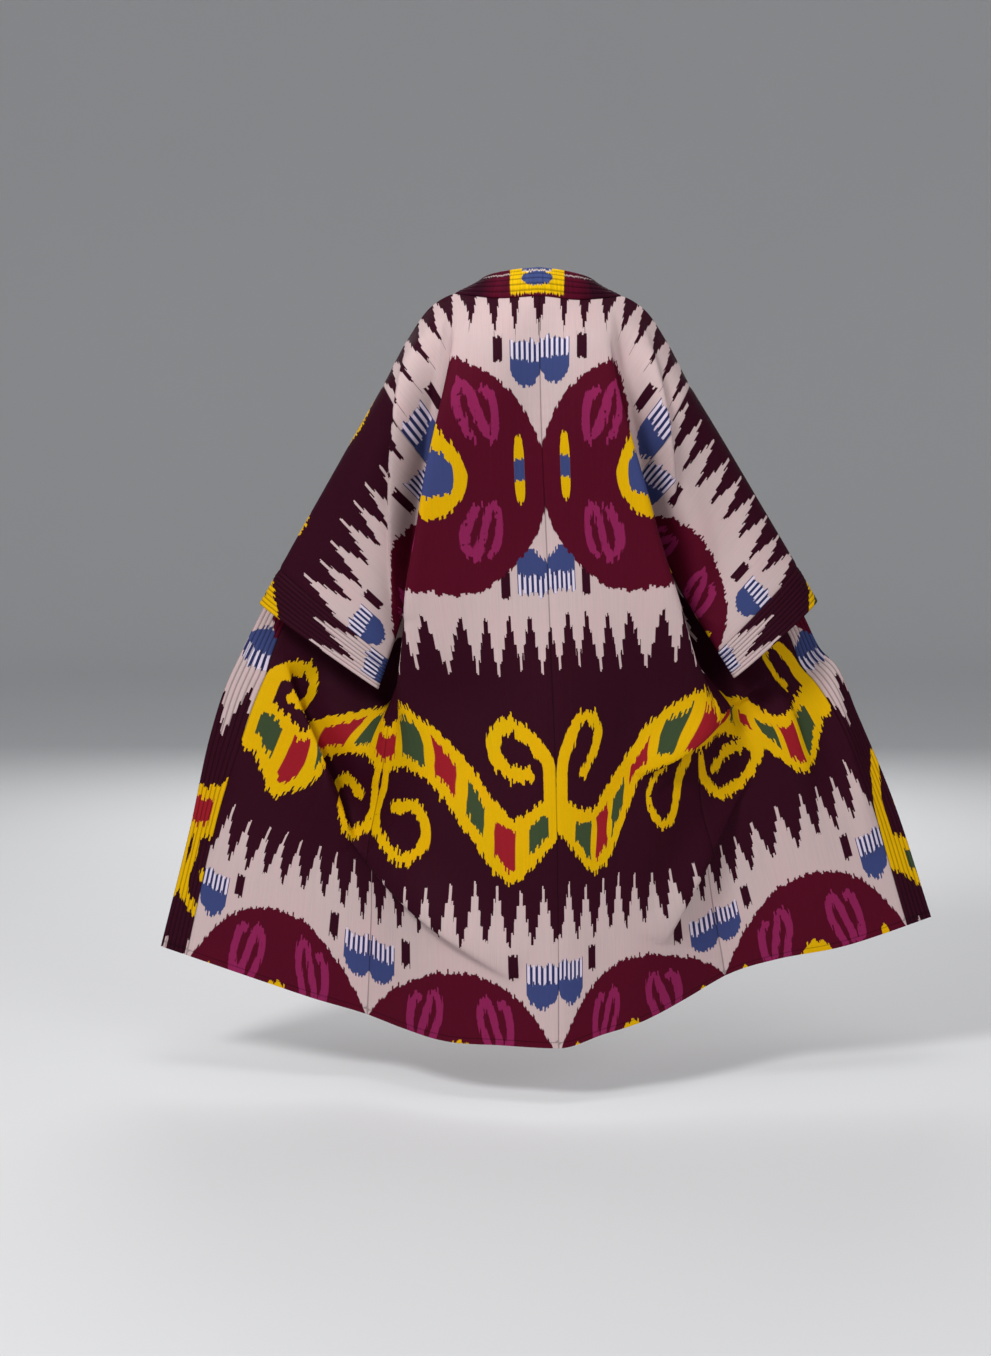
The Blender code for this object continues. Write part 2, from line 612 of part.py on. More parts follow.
def half_robe(side):
    """The back, front and sleeve grids of one side, folded, with their shared edges the
    same to the last digit."""
    back = back_grid(side)
    front = front_grid(side, back)
    sleeve = sleeve_grid(side)
    fade = ramp(body_levels(), 0.0, SHOULDER_EASE)[:, None, None]
    way = np.linspace(0.0, 1.0, UPPER_ROWS + 1)
    behind = np.concatenate([ramp(way * ARMHOLE, 0.0, SHOULDER_EASE), np.zeros(UPPER_ROWS - 1)])
    back += fade * fold_shift(back, side, ("sleeve", "skirt"))
    front += fade * fold_shift(front, side, ("skirt",))
    sleeve += behind[:, None] * fold_shift(sleeve, side, ("sleeve",))
    front[0, : PANEL_COLUMNS + 1] = back[0, NECK_COLUMNS:][::-1]
    front[UPPER_ROWS:, 0] = back[UPPER_ROWS:, -1]
    sleeve[0, : UPPER_ROWS + 1] = back[: UPPER_ROWS + 1, -1]
    sleeve[0, UPPER_ROWS + 1 :] = front[1:UPPER_ROWS, 0][::-1]
    return back, front, sleeve


# ---- walls


def quads(rows, columns, closed, flip):
    """Vertex numbers of the quads of a grid, which may close round its columns."""
    across = columns if closed else columns - 1
    i, j = np.meshgrid(np.arange(rows - 1), np.arange(across), indexing="ij")
    k = (j + 1) % columns
    faces = np.stack(
        [i * columns + j, i * columns + k, (i + 1) * columns + k, (i + 1) * columns + j], -1
    ).reshape(-1, 4)
    return faces[:, ::-1] if flip else faces


def shared_normals(grids):
    """A normal for each grid point, the same for points that two grids share."""
    points = np.concatenate([grid["points"].reshape(-1, 3) for grid in grids])
    starts = np.cumsum([0] + [grid["points"][..., 0].size for grid in grids])
    faces = np.concatenate(
        [
            quads(*grid["points"].shape[:2], grid["closed"], grid["flip"]) + start
            for grid, start in zip(grids, starts)
        ]
    )
    corner = points[faces]
    normal = np.cross(corner[:, 2] - corner[:, 0], corner[:, 3] - corner[:, 1])
    _, shared = np.unique(np.round(points, 6), axis=0, return_inverse=True)
    shared = shared.reshape(-1)
    total = np.zeros((shared.max() + 1, 3))
    for k in range(4):
        np.add.at(total, shared[faces[:, k]], normal)
    total /= np.linalg.norm(total, axis=1)[:, None]
    normals = total[shared]
    return [
        normals[a:b].reshape(grid["points"].shape)
        for grid, a, b in zip(grids, starts, starts[1:])
    ]


def pulled_in(points, normals, own, closed, opened):
    """The grid with its open edges drawn back by half a seam gap, square to each edge
    and within the cloth. Where pieces meet at an angle, which shows as shared normals
    that lean from the piece's own, the edge stands back further so the walls clear, and
    by `opened` more where three pieces meet."""
    result = points.copy()
    upright = np.clip((normals * own).sum(-1), STEEPEST_MITRE, 1.0)
    mitre = WALL * np.sqrt(1 - upright**2) / upright
    back = (HALF_GAP + MITRE_SHARE * np.maximum(mitre - FREE_MITRE, 0.0) + opened)[..., None]
    for axis in (0,) if closed else (0, 1):
        lines = np.moveaxis(points, axis, 0)
        facing = np.moveaxis(own, axis, 0)
        moved = np.moveaxis(result, axis, 0)
        distance = np.moveaxis(back, axis, 0)
        for edge, inner in ((0, 1), (-1, -2)):
            ring = np.pad(lines[edge], ((1, 1), (0, 0)), mode="wrap" if closed else "edge")
            square = np.cross(ring[2:] - ring[:-2], facing[edge])
            square /= np.linalg.norm(square, axis=-1)[..., None]
            inward = np.sign(((lines[inner] - lines[edge]) * square).sum(-1))[..., None]
            moved[edge] += distance[edge] * inward * square
    return result


def skin_triangles(faces, points):
    """The quads cut along their shorter diagonals. Both sides of a wall are cut from the
    same middle points, so where the cloth is twisted they stay a wall apart."""
    corner = points[faces]
    first = np.linalg.norm(corner[:, 2] - corner[:, 0], axis=1)
    second = np.linalg.norm(corner[:, 3] - corner[:, 1], axis=1)
    shorter = (first <= second)[:, None]
    one = np.where(shorter, faces[:, [0, 1, 2]], faces[:, [0, 1, 3]])
    two = np.where(shorter, faces[:, [0, 2, 3]], faces[:, [1, 2, 3]])
    return np.concatenate([one, two])


def rim_triangles(loop, points, flip):
    """Triangles that join the outer points of a wall's edge to the inner ones. Each quad
    is cut from its higher end, so two pieces at one seam have it cut alike."""
    first, second = loop[:-1], loop[1:]
    count = len(points)
    heights = points @ np.array(CUT_HEADING)
    swap = (heights[first] > heights[second])[:, None]
    one = np.stack([second, first, first + count], -1)
    two = np.stack([second, first + count, second + count], -1)
    other_one = np.stack([second, first, second + count], -1)
    other_two = np.stack([first, first + count, second + count], -1)
    faces = np.concatenate([np.where(swap, one, other_one), np.where(swap, two, other_two)])
    return faces[:, ::-1] if flip else faces


def wall_mesh(name, points, normals, closed, flip, rise, opened):
    """A closed wall: the grid moved out and in by half the wall, joined at its edges.
    Where a shared normal points to the wall's other side, the wall keeps its own.
    rise is what the outer points stand proud of the plain wall and opened what its
    edges stand back by more than the seam gap."""
    rows, columns = points.shape[:2]
    own = shared_normals([{"points": points, "closed": closed, "flip": flip}])[0]
    leaning = (normals * own).sum(-1)[..., None]
    normals = np.where(leaning < 0, own, normals)
    base = pulled_in(points, normals, own, closed, opened)
    outer = base + normals * (WALL / 2 + rise)[..., None]
    inner = base - normals * (WALL / 2)
    count = rows * columns
    skin = skin_triangles(quads(rows, columns, closed, flip), points.reshape(-1, 3))
    faces = [skin, skin[:, ::-1] + count]
    loops = []
    if closed:
        loops.append(np.append(np.arange(columns), 0))
        loops.append(np.append(np.arange(columns), 0)[::-1] + (rows - 1) * columns)
    else:
        top = np.arange(columns)
        right = np.arange(rows) * columns + columns - 1
        bottom = top[::-1] + (rows - 1) * columns
        left = np.arange(rows)[::-1] * columns
        loops.append(np.concatenate([top[:-1], right[:-1], bottom[:-1], left]))
    for loop in loops:
        faces.append(rim_triangles(loop, points.reshape(-1, 3), flip))
    vertices = np.concatenate([outer.reshape(-1, 3), inner.reshape(-1, 3)])
    mesh = bpy.data.meshes.new(name)
    mesh.from_pydata(vertices.tolist(), [], [row for part in faces for row in part.tolist()])
    mesh.update()
    mesh.shade_smooth()
    mesh.set_sharp_from_angle(angle=np.radians(50))
    return mesh


def stitched_rows(lines):
    """Ridges between parallel rows of stitching: every second grid line stands proud,
    and the lines where the wall ends or meets its neighbour stay low."""
    rise = np.zeros(lines)
    rise[1:-1:2] = ROW_RISE
    return rise


def material(name, colour, roughness):
    made = bpy.data.materials.new(name)
    made.use_nodes = True
    shader = made.node_tree.nodes["Principled BSDF"]
    shader.inputs["Base Color"].default_value = (*colour, 1.0)
    shader.inputs["Roughness"].default_value = roughness
    shader.inputs["Metallic"].default_value = 0.0
    return made


def piece(name, grid, normals, rows=EVERY, columns=EVERY, rise=0.0, opened=0.0):
    """Puts one piece of cloth in the scene: the named rows and columns of a grid."""
    points = grid["points"][rows, columns]
    facing = normals[rows, columns]
    rise = np.broadcast_to(rise, points.shape[:2])
    opened = np.broadcast_to(opened, points.shape[:2])
    mesh = wall_mesh(name, points, facing, grid["closed"], grid["flip"], rise, opened)
    made = bpy.data.objects.new(name, mesh)
    bpy.context.scene.collection.objects.link(made)
    colour = COLOURS[name.split("_")[0]]
    mesh.materials.append(material(name + "_cloth", colour, CLOTH_ROUGHNESS))
    return made


def build():
    for old in list(bpy.data.objects):
        bpy.data.objects.remove(old, do_unlink=True)
    grids = {}
    for side in SIDES:
        left = side == "left"
        back, front, sleeve = half_robe(side)
        grids["back_" + side] = {"points": back, "closed": False, "flip": not left}
        grids["front_" + side] = {"points": front, "closed": False, "flip": not left}
        grids["sleeve_" + side] = {"points": sleeve, "closed": True, "flip": left}
    backs = {side: grids["back_" + side]["points"] for side in SIDES}
    fronts = {side: grids["front_" + side]["points"] for side in SIDES}
    grids["collar"] = {"points": collar_grid(backs, fronts), "closed": False, "flip": True}
    normals = dict(zip(grids, shared_normals(list(grids.values()))))

    for side in SIDES:
        for part in ("back", "front"):
            name = part + "_" + side
            columns = slice(0, PANEL_COLUMNS + 1) if part == "front" else EVERY
            piece(name, grids[name], normals[name], columns=columns)
        front = "front_" + side
        rise = stitched_rows(BAND_COLUMNS + 1)
        band = slice(PANEL_COLUMNS, None)
        piece("band_" + side, grids[front], normals[front], columns=band, rise=rise)
        sleeve = "sleeve_" + side
        ring = grids[sleeve]["points"].shape[1]
        rings = slice(0, SLEEVE_RINGS + 1)
        opened = np.zeros((SLEEVE_RINGS + 1, ring))
        opened[0, UPPER_ROWS - 1 : UPPER_ROWS + 2] = UNDERARM_GAP / 2
        opened[0, UPPER_ROWS] = UNDERARM_GAP
        piece(sleeve, grids[sleeve], normals[sleeve], rows=rings, opened=opened)
        rise = stitched_rows(CUFF_COLUMNS + 1)[:, None]
        cuff = slice(SLEEVE_RINGS, None)
        piece("cuff_" + side, grids[sleeve], normals[sleeve], rows=cuff, rise=rise)
    rise = stitched_rows(BAND_COLUMNS + 1)[:, None]
    piece("collar", grids["collar"], normals["collar"], rise=rise)


build()
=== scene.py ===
import bpy
import numpy as np
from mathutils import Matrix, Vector


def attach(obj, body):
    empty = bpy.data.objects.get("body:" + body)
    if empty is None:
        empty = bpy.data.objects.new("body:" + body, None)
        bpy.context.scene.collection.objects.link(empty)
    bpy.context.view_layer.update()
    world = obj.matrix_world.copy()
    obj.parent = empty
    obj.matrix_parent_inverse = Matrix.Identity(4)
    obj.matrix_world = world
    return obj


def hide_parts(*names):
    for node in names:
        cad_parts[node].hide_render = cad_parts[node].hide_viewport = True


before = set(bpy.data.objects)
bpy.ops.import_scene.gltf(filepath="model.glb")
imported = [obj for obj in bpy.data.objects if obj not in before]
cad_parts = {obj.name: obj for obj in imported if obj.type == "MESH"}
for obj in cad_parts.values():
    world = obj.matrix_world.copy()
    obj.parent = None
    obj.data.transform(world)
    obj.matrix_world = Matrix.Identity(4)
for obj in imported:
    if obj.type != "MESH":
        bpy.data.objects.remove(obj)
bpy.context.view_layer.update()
print("stage: packed frame loaded")

# the flat cut, in metres
cut = {
    "strip": 0.32,
    "length": 1.25,
    "armhole": 0.275,
    "sleeve": 0.33,
    "cuff": 0.064,
    "band": 0.046,
    "neckWidth": 0.135,
    "neckDrop": 0.05,
    "necklineEnd": 0.30,
    "necklineCurve": 1.3,
    "neckDropCurve": 2.5,
    "ringFullness": 0.3,
    "wall": 0.002,
}
# how folds turn and where the fronts leave the shoulder line
drape = {
    "turn": 0.016,
    "turnShare": 0.5,
    "shoulderEase": 0.08,
    "crestEase": 0.025,
    "crestOverrun": 0.003,
    "backTuckDepth": 0.25,
    "frontTuckDepth": 0.8,
    "sideRounds": 0.12,
    "foldEnd": 0.03,
    "foldTaper": (0.08, 0.7),
    "foldSteps": 161,
    "blade": (0.004, 0.010, 0.18, 0.12),
    "bandCurves": (0.05, 0.20),
    "collarRoll": 0.0056,
}
# rows and columns of the cloth grids
mesh = {
    "upper": 60,
    "lower": 208,
    "neck": 26,
    "back": [14, 18, 24],
    "front": [14, 18, 14, 10],
    "band": 24,
    "sleeve": 76,
    "cuff": 54,
}
panel = sum(mesh["back"])
sides = {"left": 1.0, "right": -1.0}

# Key lines of the worn form, in millimetres. A row has its place down the cloth and a
# point as (out, y, z). The three folds have their place over the strip before the point,
# and crest and dragFold have the depth of the tuck behind them after it.
centre = (
    (0, 0, 50, -10), (50, 0, 85, -54), (120, 0, 103, -120), (260, -3, 108, -257),
    (450, -12, 96, -443), (620, -19, 102, -612), (800, -26, 125, -790), (1020, -30, 150, -1007),
    (1250, -31, 166, -1229),
)

crest = {
    "left": (
        (0, 160, 156, 0, -54, 0), (60, 148, 136, 56, -78, 0), (120, 148, 134, 96, -118, 16),
        (200, 162, 146, 116, -195, 34), (320, 187, 167, 114, -313, 46),
        (440, 210, 183, 102, -432, 46), (540, 232, 199, 90, -530, 42),
        (620, 252, 213, 74, -610, 30), (690, 270, 225, 52, -680, 12),
        (780, 262, 206, 62, -772, 0), (920, 215, 176, 96, -908, 0),
        (1250, 190, 150, 126, -1228, 0),
    ),
    "right": (
        (0, 160, 154, 0, -58, 0), (60, 132, 119, 58, -80, 0), (120, 122, 108, 98, -120, 12),
        (200, 140, 122, 116, -198, 28), (320, 170, 151, 114, -315, 40),
        (440, 206, 182, 98, -433, 42), (540, 238, 212, 82, -528, 38),
        (620, 260, 240, 62, -606, 28), (700, 283, 274, 36, -686, 10),
        (800, 262, 240, 50, -790, 0), (940, 215, 190, 90, -920, 0),
        (1250, 190, 170, 118, -1196, 0),
    ),
}

sideSeam = {
    "left": (
        (275, 144, 0, -368), (330, 136, 6, -412), (420, 142, 16, -480), (520, 166, 22, -554),
        (620, 208, 16, -630), (720, 238, 6, -714), (820, 252, 6, -806), (930, 267, 14, -910),
        (1080, 271, 28, -1052), (1250, 278, 34, -1208),
    ),
    "right": (
        (275, 142, 0, -364), (330, 136, 6, -408), (420, 148, 14, -476), (520, 188, 18, -552),
        (620, 246, 6, -626), (720, 300, 0, -708), (820, 303, 4, -798), (930, 297, 14, -892),
        (1080, 293, 25, -1014), (1250, 307, 30, -1144),
    ),
}

innerFold = {
    "left": (
        (0, 90, 206, 0, -120), (100, 110, 122, -94, -186), (200, 125, 84, -112, -262),
        (300, 135, 84, -112, -350), (420, 120, 122, -88, -456), (560, 110, 176, -74, -580),
        (680, 100, 240, -50, -690), (780, 90, 300, -18, -770), (920, 90, 330, -2, -880),
        (1080, 90, 350, 10, -1026), (1250, 90, 366, 16, -1186),
    ),
    "right": (
        (0, 90, 204, 0, -126), (100, 110, 120, -94, -188), (200, 125, 84, -112, -262),
        (300, 135, 86, -112, -350), (420, 120, 128, -88, -456), (560, 110, 196, -74, -576),
        (680, 100, 270, -50, -676), (780, 90, 338, -24, -748), (920, 90, 350, -6, -862),
        (1080, 90, 364, 4, -988), (1250, 90, 392, 10, -1122),
    ),
}

dragFold = {
    "left": (
        (0, 160, 156, 0, -54, 0), (100, 200, 142, -80, -126, 0), (200, 220, 140, -118, -206, 0),
        (300, 230, 160, -124, -290, 0), (420, 225, 215, -106, -402, 0),
        (560, 215, 280, -92, -528, 0), (680, 200, 340, -56, -652, 8),
        (780, 195, 388, -22, -744, 18), (880, 165, 372, -6, -842, 14),
        (1020, 160, 404, -6, -960, 4), (1250, 170, 440, -4, -1166, 0),
    ),
    "right": (
        (0, 160, 154, 0, -58, 0), (100, 200, 140, -80, -130, 0), (200, 220, 138, -118, -208, 0),
        (300, 230, 158, -124, -292, 0), (420, 225, 215, -106, -402, 0),
        (560, 215, 282, -92, -524, 0), (680, 205, 352, -56, -634, 10),
        (780, 205, 412, -30, -704, 18), (880, 200, 440, -22, -792, 10),
        (1020, 190, 450, -16, -904, 2), (1250, 190, 494, -12, -1108, 0),
    ),
}

frontEdge = {
    "left": (
        (0, 95, -4, -26), (50, 124, -26, -44), (100, 158, -50, -84), (200, 226, -78, -152),
        (320, 290, -90, -250), (450, 352, -92, -364), (600, 422, -82, -494),
        (760, 490, -62, -628), (800, 508, -68, -664), (900, 541, -80, -758),
        (1050, 578, -80, -918), (1250, 627, -60, -1116),
    ),
    "right": (
        (0, 95, -4, -30), (50, 123, -26, -49), (100, 156, -50, -90), (200, 218, -78, -162),
        (320, 280, -90, -258), (450, 342, -92, -368), (600, 408, -82, -490),
        (760, 470, -62, -616), (800, 492, -68, -640), (900, 530, -80, -722),
        (1050, 590, -78, -862), (1250, 658, -60, -1066),
    ),
}

# thousandths of the way to the cuff's end, the top line's point, the underarm's point and
# the half thickness between them
sleeveLines = {
    "left": (
        (0, 247, 0, -190, 144, 0, -368, 75), (250, 299, -6, -278, 180, 2, -434, 52),
        (500, 350, -14, -366, 206, 10, -520, 36), (750, 402, -22, -454, 232, 17, -602, 26),
        (1000, 453, -30, -541, 258, 22, -676, 20),
    ),
    "right": (
        (0, 241, 0, -190, 142, 0, -364, 75), (250, 296, -6, -277, 188, 2, -436, 54),
        (500, 350, -14, -364, 230, 10, -518, 40), (750, 403, -22, -450, 275, 17, -592, 32),
        (1000, 455, -30, -537, 316, 22, -658, 30),
    ),
}

# thousandths of the way from the nape to the shoulder line, and the free edge's point
collarEdge = {
    "left": (
        (0, 0, 55, -8), (400, 44, 48, -12), (750, 80, 24, -18), (1000, 95, -4, -26),
    ),
    "right": (
        (0, 0, 55, -8), (400, 44, 48, -13), (750, 80, 24, -21), (1000, 95, -4, -30),
    ),
}


def ramp(value, start, end):
    # smooth step: 3t^2 - 2t^3 with t the share of the way from start to end
    t = np.clip((value - start) / (end - start), 0.0, 1.0)
    return t * t * (3 - 2 * t)


def cubic(t, step, low, high, lowSlope, highSlope):
    # the cubic with these values and slopes at t = 0 and t = 1, which are a step apart
    return (
        (1 + 2 * t) * (1 - t) ** 2 * low
        + t * (1 - t) ** 2 * step * lowSlope
        + t**2 * (3 - 2 * t) * high
        + t**2 * (t - 1) * step * highSlope
    )


def hermite(knots, points, slopes, at):
    # cubics through the points at the knots, which may differ from place to place
    result = 0.0
    for i in range(len(knots) - 1):
        step = (knots[i + 1] - knots[i])[..., None]
        t = (at - knots[i])[..., None] / step
        value = cubic(t, step, points[i], points[i + 1], slopes[i], slopes[i + 1])
        result = np.where((at >= knots[i])[..., None] | (i == 0), value, result)
    return result


def knotSlopes(knots, points):
    # slope at a knot: that of the parabola through it and its neighbours
    gaps = [(b - a)[..., None] for a, b in zip(knots, knots[1:])]
    chords = [(b - a) / gap for a, b, gap in zip(points, points[1:], gaps)]
    slopes = [chords[0]]
    for i in range(1, len(gaps)):
        slopes.append((chords[i] * gaps[i - 1] + chords[i - 1] * gaps[i]) / (gaps[i - 1] + gaps[i]))
    return slopes + [chords[-1]]


def curve(table, level):
    # the table's columns as smooth curves of its first column, read at the level
    places, points = list(table[:, 0]), list(table[:, 1:])
    return hermite(places, points, knotSlopes(places, points), level)


def along(rows, level):
    # rows in millimetres, read as curves in metres
    return curve(np.array(rows) / 1000, level)


def placed(values, side):
    # (out, y, z) columns as points on that side of the robe
    return values[..., :3] * np.array([sides[side], 1.0, 1.0])


def runAlong(steps):
    # the length run at each point of a row, from the steps between them
    return np.concatenate([np.zeros(steps.shape[:-1] + (1,)), np.cumsum(steps, -1)], -1)


def readAt(run, wanted):
    # for each wanted length, the step of the run that it is in and its share of that step
    at = (run[..., None, :] <= wanted[..., None]).sum(-1) - 1
    at = np.clip(at, 0, run.shape[-1] - 2)
    low, high = np.take_along_axis(run, at, -1), np.take_along_axis(run, at + 1, -1)
    return at, (wanted - low) / (high - low)


def ringPoints(side, share, way, front):
    # sleeve section: an oval about its top and underarm lines, fuller near the top, read
    # at even steps of its length from the top line (way 0) to the underarm (way 1)
    lines = along(sleeveLines[side], share)
    top, under = placed(lines[..., 0:3], side), placed(lines[..., 3:6], side)
    half = (top - under) / 2
    thick = lines[..., 6]
    full = cut["ringFullness"]
    angles = np.linspace(0.0, np.pi, 97)
    tall = np.linalg.norm(half, axis=-1)[..., None] * np.cos(angles)
    deep = thick[..., None] * np.sin(angles) * (1 + full * np.cos(angles))
    run = runAlong(np.hypot(np.diff(tall), np.diff(deep)))
    at, over = readAt(run / run[..., -1:], np.broadcast_to(way, thick.shape)[..., None])
    found = (angles[at] + angles[1] * over)[..., 0]
    points = (top + under) / 2 + half * np.cos(found)[..., None]
    out = thick * np.sin(found) * (1 + full * np.cos(found))
    points[..., 1] += -out if front else out
    return points


def neckline(level):
    # cloth cut off the front strip's inner side, down to the neckline's end
    left = np.clip(1 - level / cut["necklineEnd"], 0.0, 1.0)
    return cut["neckWidth"] * left ** cut["necklineCurve"]


def seamLine(side, level, front):
    # the armhole seam down to the underarm, then the side seam
    way = np.clip(level / cut["armhole"], 0.0, 1.0)
    upper = ringPoints(side, np.zeros(np.shape(level)), way, front)
    lower = placed(along(sideSeam[side], np.maximum(level, cut["armhole"])), side)
    return np.where((level < cut["armhole"])[..., None], upper, lower)


def withTuck(side, knots, points, tuck, depth):
    # two more knots past the crest, which is the third one: where the cloth turns under
    # it, and the tuck's bottom; both go towards the robe's middle and its inside
    tuck = np.maximum(tuck, 0.0)
    shift = np.stack([-sides[side] * tuck, -depth * tuck, 0 * tuck], -1)
    slopes = knotSlopes(knots, points)
    turnKnot = knots[2] + drape["turn"]
    tuckKnot = (knots[2] + knots[3]) / 2
    turned = hermite(knots, points, slopes, turnKnot) + drape["turnShare"] * shift
    tucked = hermite(knots, points, slopes, tuckKnot) + shift
    return (
        knots[:3] + [turnKnot, tuckKnot] + knots[3:],
        points[:3] + [turned, tucked] + points[3:],
    )


def bodyPoints(side, level, across, front):
    # a half section of the robe at each level: a cubic from the centre back by the fold
    # crest, its tuck and the side seam to the inner fold, drag fold and free edge
    zero = np.zeros_like(level)
    centreBack = along(centre, level)
    ridge = along(crest[side], level)
    least, rise, bladeLevel, bladeSpread = drape["blade"]
    blade = least + rise * np.exp(-(((level - bladeLevel) / bladeSpread) ** 2))
    ridgePoint = placed(ridge[..., 1:4], side)
    middle = (centreBack + ridgePoint) / 2 + np.stack([zero, blade, zero], -1)
    backKnots, backPoints = withTuck(
        side,
        [zero, ridge[..., 0] / 2, ridge[..., 0], zero + cut["strip"]],
        [centreBack, middle, ridgePoint, seamLine(side, level, False)],
        ridge[..., 4],
        drape["backTuckDepth"],
    )
    lines = [along(table[side], level) for table in (innerFold, dragFold, frontEdge)]
    inner, drag, edge = lines
    frontKnots, frontPoints = withTuck(
        side,
        [zero, inner[..., 0], drag[..., 0], cut["strip"] - neckline(level) + cut["band"]],
        [seamLine(side, level, True)]
        + [placed(points, side) for points in (inner[..., 1:4], drag[..., 1:4], edge)],
        drag[..., 4],
        drape["frontTuckDepth"],
    )
    backSlopes = knotSlopes(backKnots, backPoints)
    frontSlopes = knotSlopes(frontKnots, frontPoints)
    backSlopes[0] = backSlopes[0] * np.array([1.0, 0.0, 0.0])
    joinedKnots = [knot - cut["strip"] for knot in backKnots] + frontKnots[1:]
    joined = knotSlopes(joinedKnots, backPoints + frontPoints[1:])[len(backKnots) - 1]
    share = ramp(level, cut["armhole"], cut["armhole"] + drape["sideRounds"])[..., None]
    backSlopes[-1] = backSlopes[-1] * (1 - share) + joined * share
    frontSlopes[0] = frontSlopes[0] * (1 - share) + joined * share
    if front:
        return hermite(frontKnots, frontPoints, frontSlopes, across)
    return hermite(backKnots, backPoints, backSlopes, across)


def spread(stops, counts):
    # columns between the stops, evenly in each stretch, with so many in each
    runs = [
        a + (b - a) * np.linspace(0.0, 1.0, count + 1)[1:]
        for a, b, count in zip(stops, stops[1:], counts)
    ]
    return np.concatenate([stops[0]] + runs, axis=1)


levels = np.concatenate(
    [
        np.linspace(0.0, cut["armhole"], mesh["upper"] + 1),
        np.linspace(cut["armhole"], cut["length"], mesh["lower"] + 1)[1:],
    ]
)


def backColumns(side, level):
    # columns over the back follow the fold's crest
    ridge = along(crest[side], level)[:, 0][:, None]
    end = 0 * ridge + cut["strip"]
    near, past = ridge - drape["crestEase"], ridge + drape["crestOverrun"]
    return spread([0 * ridge, near, past, (ridge + end) / 2, end], [mesh["neck"]] + mesh["back"])


def frontColumns(side, level):
    # columns over the front and its band, from the side seam to the free edge
    inner, drag = [along(table[side], level)[:, :1] for table in (innerFold, dragFold)]
    seam = cut["strip"] - neckline(level)[:, None]
    past = drag + drape["crestOverrun"]
    stops = [0 * drag, inner, past, (drag + 2 * seam) / 3, seam, seam + cut["band"]]
    return spread(stops, mesh["front"] + [mesh["band"]])


def backGrid(side):
    # the back from the centre to the side seam, its neck end lowered towards the nape
    across = backColumns(side, levels)
    level = np.broadcast_to(levels[:, None], across.shape)
    neck = np.clip(across / cut["neckWidth"], 0.0, 1.0) ** cut["neckDropCurve"]
    level = level + cut["neckDrop"] * (1 - neck) * (1 - np.clip(level / cut["armhole"], 0.0, 1.0))
    return bodyPoints(side, level, across, False), across, level


def frontGrid(side, back):
    # the front from the side seam to the band's free edge, eased onto the shoulder line
    across = frontColumns(side, levels)
    shoulder = cut["strip"] - backColumns(side, levels[:1])[:, mesh["neck"] :][:, ::-1]
    share = ramp(levels, 0.0, 1.5 * drape["shoulderEase"])[:, None]
    across[:, : panel + 1] = shoulder * (1 - share) + across[:, : panel + 1] * share
    level = np.broadcast_to(levels[:, None], across.shape)
    grid = bodyPoints(side, level, across, True)
    off = np.zeros(grid.shape[1:])
    off[: panel + 1] = back[0, mesh["neck"] :][::-1] - grid[0, : panel + 1]
    off[panel:] = off[panel] * np.linspace(1.0, 0.0, mesh["band"] + 1)[:, None]
    grid += off * (1 - ramp(levels, 0.0, drape["shoulderEase"]))[:, None, None]
    band = grid[:, panel:]
    rise = np.linspace(0.0, 1.0, mesh["band"] + 1)[:, None]
    flat = band[:, :1] + (band[:, -1:] - band[:, :1]) * rise
    band += (flat - band) * (1 - ramp(levels, *drape["bandCurves"])[:, None, None])
    return grid, across, level


def collarGrid():
    # the collar from the right shoulder line round to the left, neck seam to free edge
    halves = []
    for side in ("right", "left"):
        seam = grids["back", side]["points"][0, : mesh["neck"] + 1]
        share = np.linspace(0.0, 1.0, mesh["neck"] + 1)
        edge = placed(along(collarEdge[side], share), side)
        rise = np.linspace(0.0, 1.0, mesh["band"] + 1)[:, None, None]
        roll = drape["collarRoll"] * np.sin(np.pi * rise) * np.array([0.0, 1.0, 1.0])
        half = seam + (edge - seam) * rise + roll * (1 - share[:, None] ** 4)
        bandTop = grids["front", side]["points"][0, panel:]
        halves.append(half + (bandTop - half[:, -1])[:, None] * share[:, None] ** 3)
    return np.concatenate([halves[0][:, ::-1], halves[1][:, 1:]], axis=1)


def sleeveGrid(side):
    # rings from the armhole to the cuff's end; columns run from the underarm up the
    # front, over the top line and down the back to the underarm again
    total = cut["sleeve"] + cut["cuff"]
    sleeveEnd = cut["sleeve"] / total
    share = np.concatenate(
        [
            np.linspace(0.0, sleeveEnd, mesh["sleeve"] + 1),
            np.linspace(sleeveEnd, 1.0, mesh["cuff"] + 1)[1:],
        ]
    )
    way = np.linspace(0.0, 1.0, mesh["upper"] + 1)
    shareAt, wayAt = np.meshgrid(share, way, indexing="ij")
    before, behind = [ringPoints(side, shareAt, wayAt, front) for front in (True, False)]
    points = np.concatenate([before[:, :0:-1], behind], axis=1)
    signed = cut["armhole"] * np.concatenate([-way[:0:-1], way])
    return points, *np.meshgrid(total * share, signed, indexing="ij")


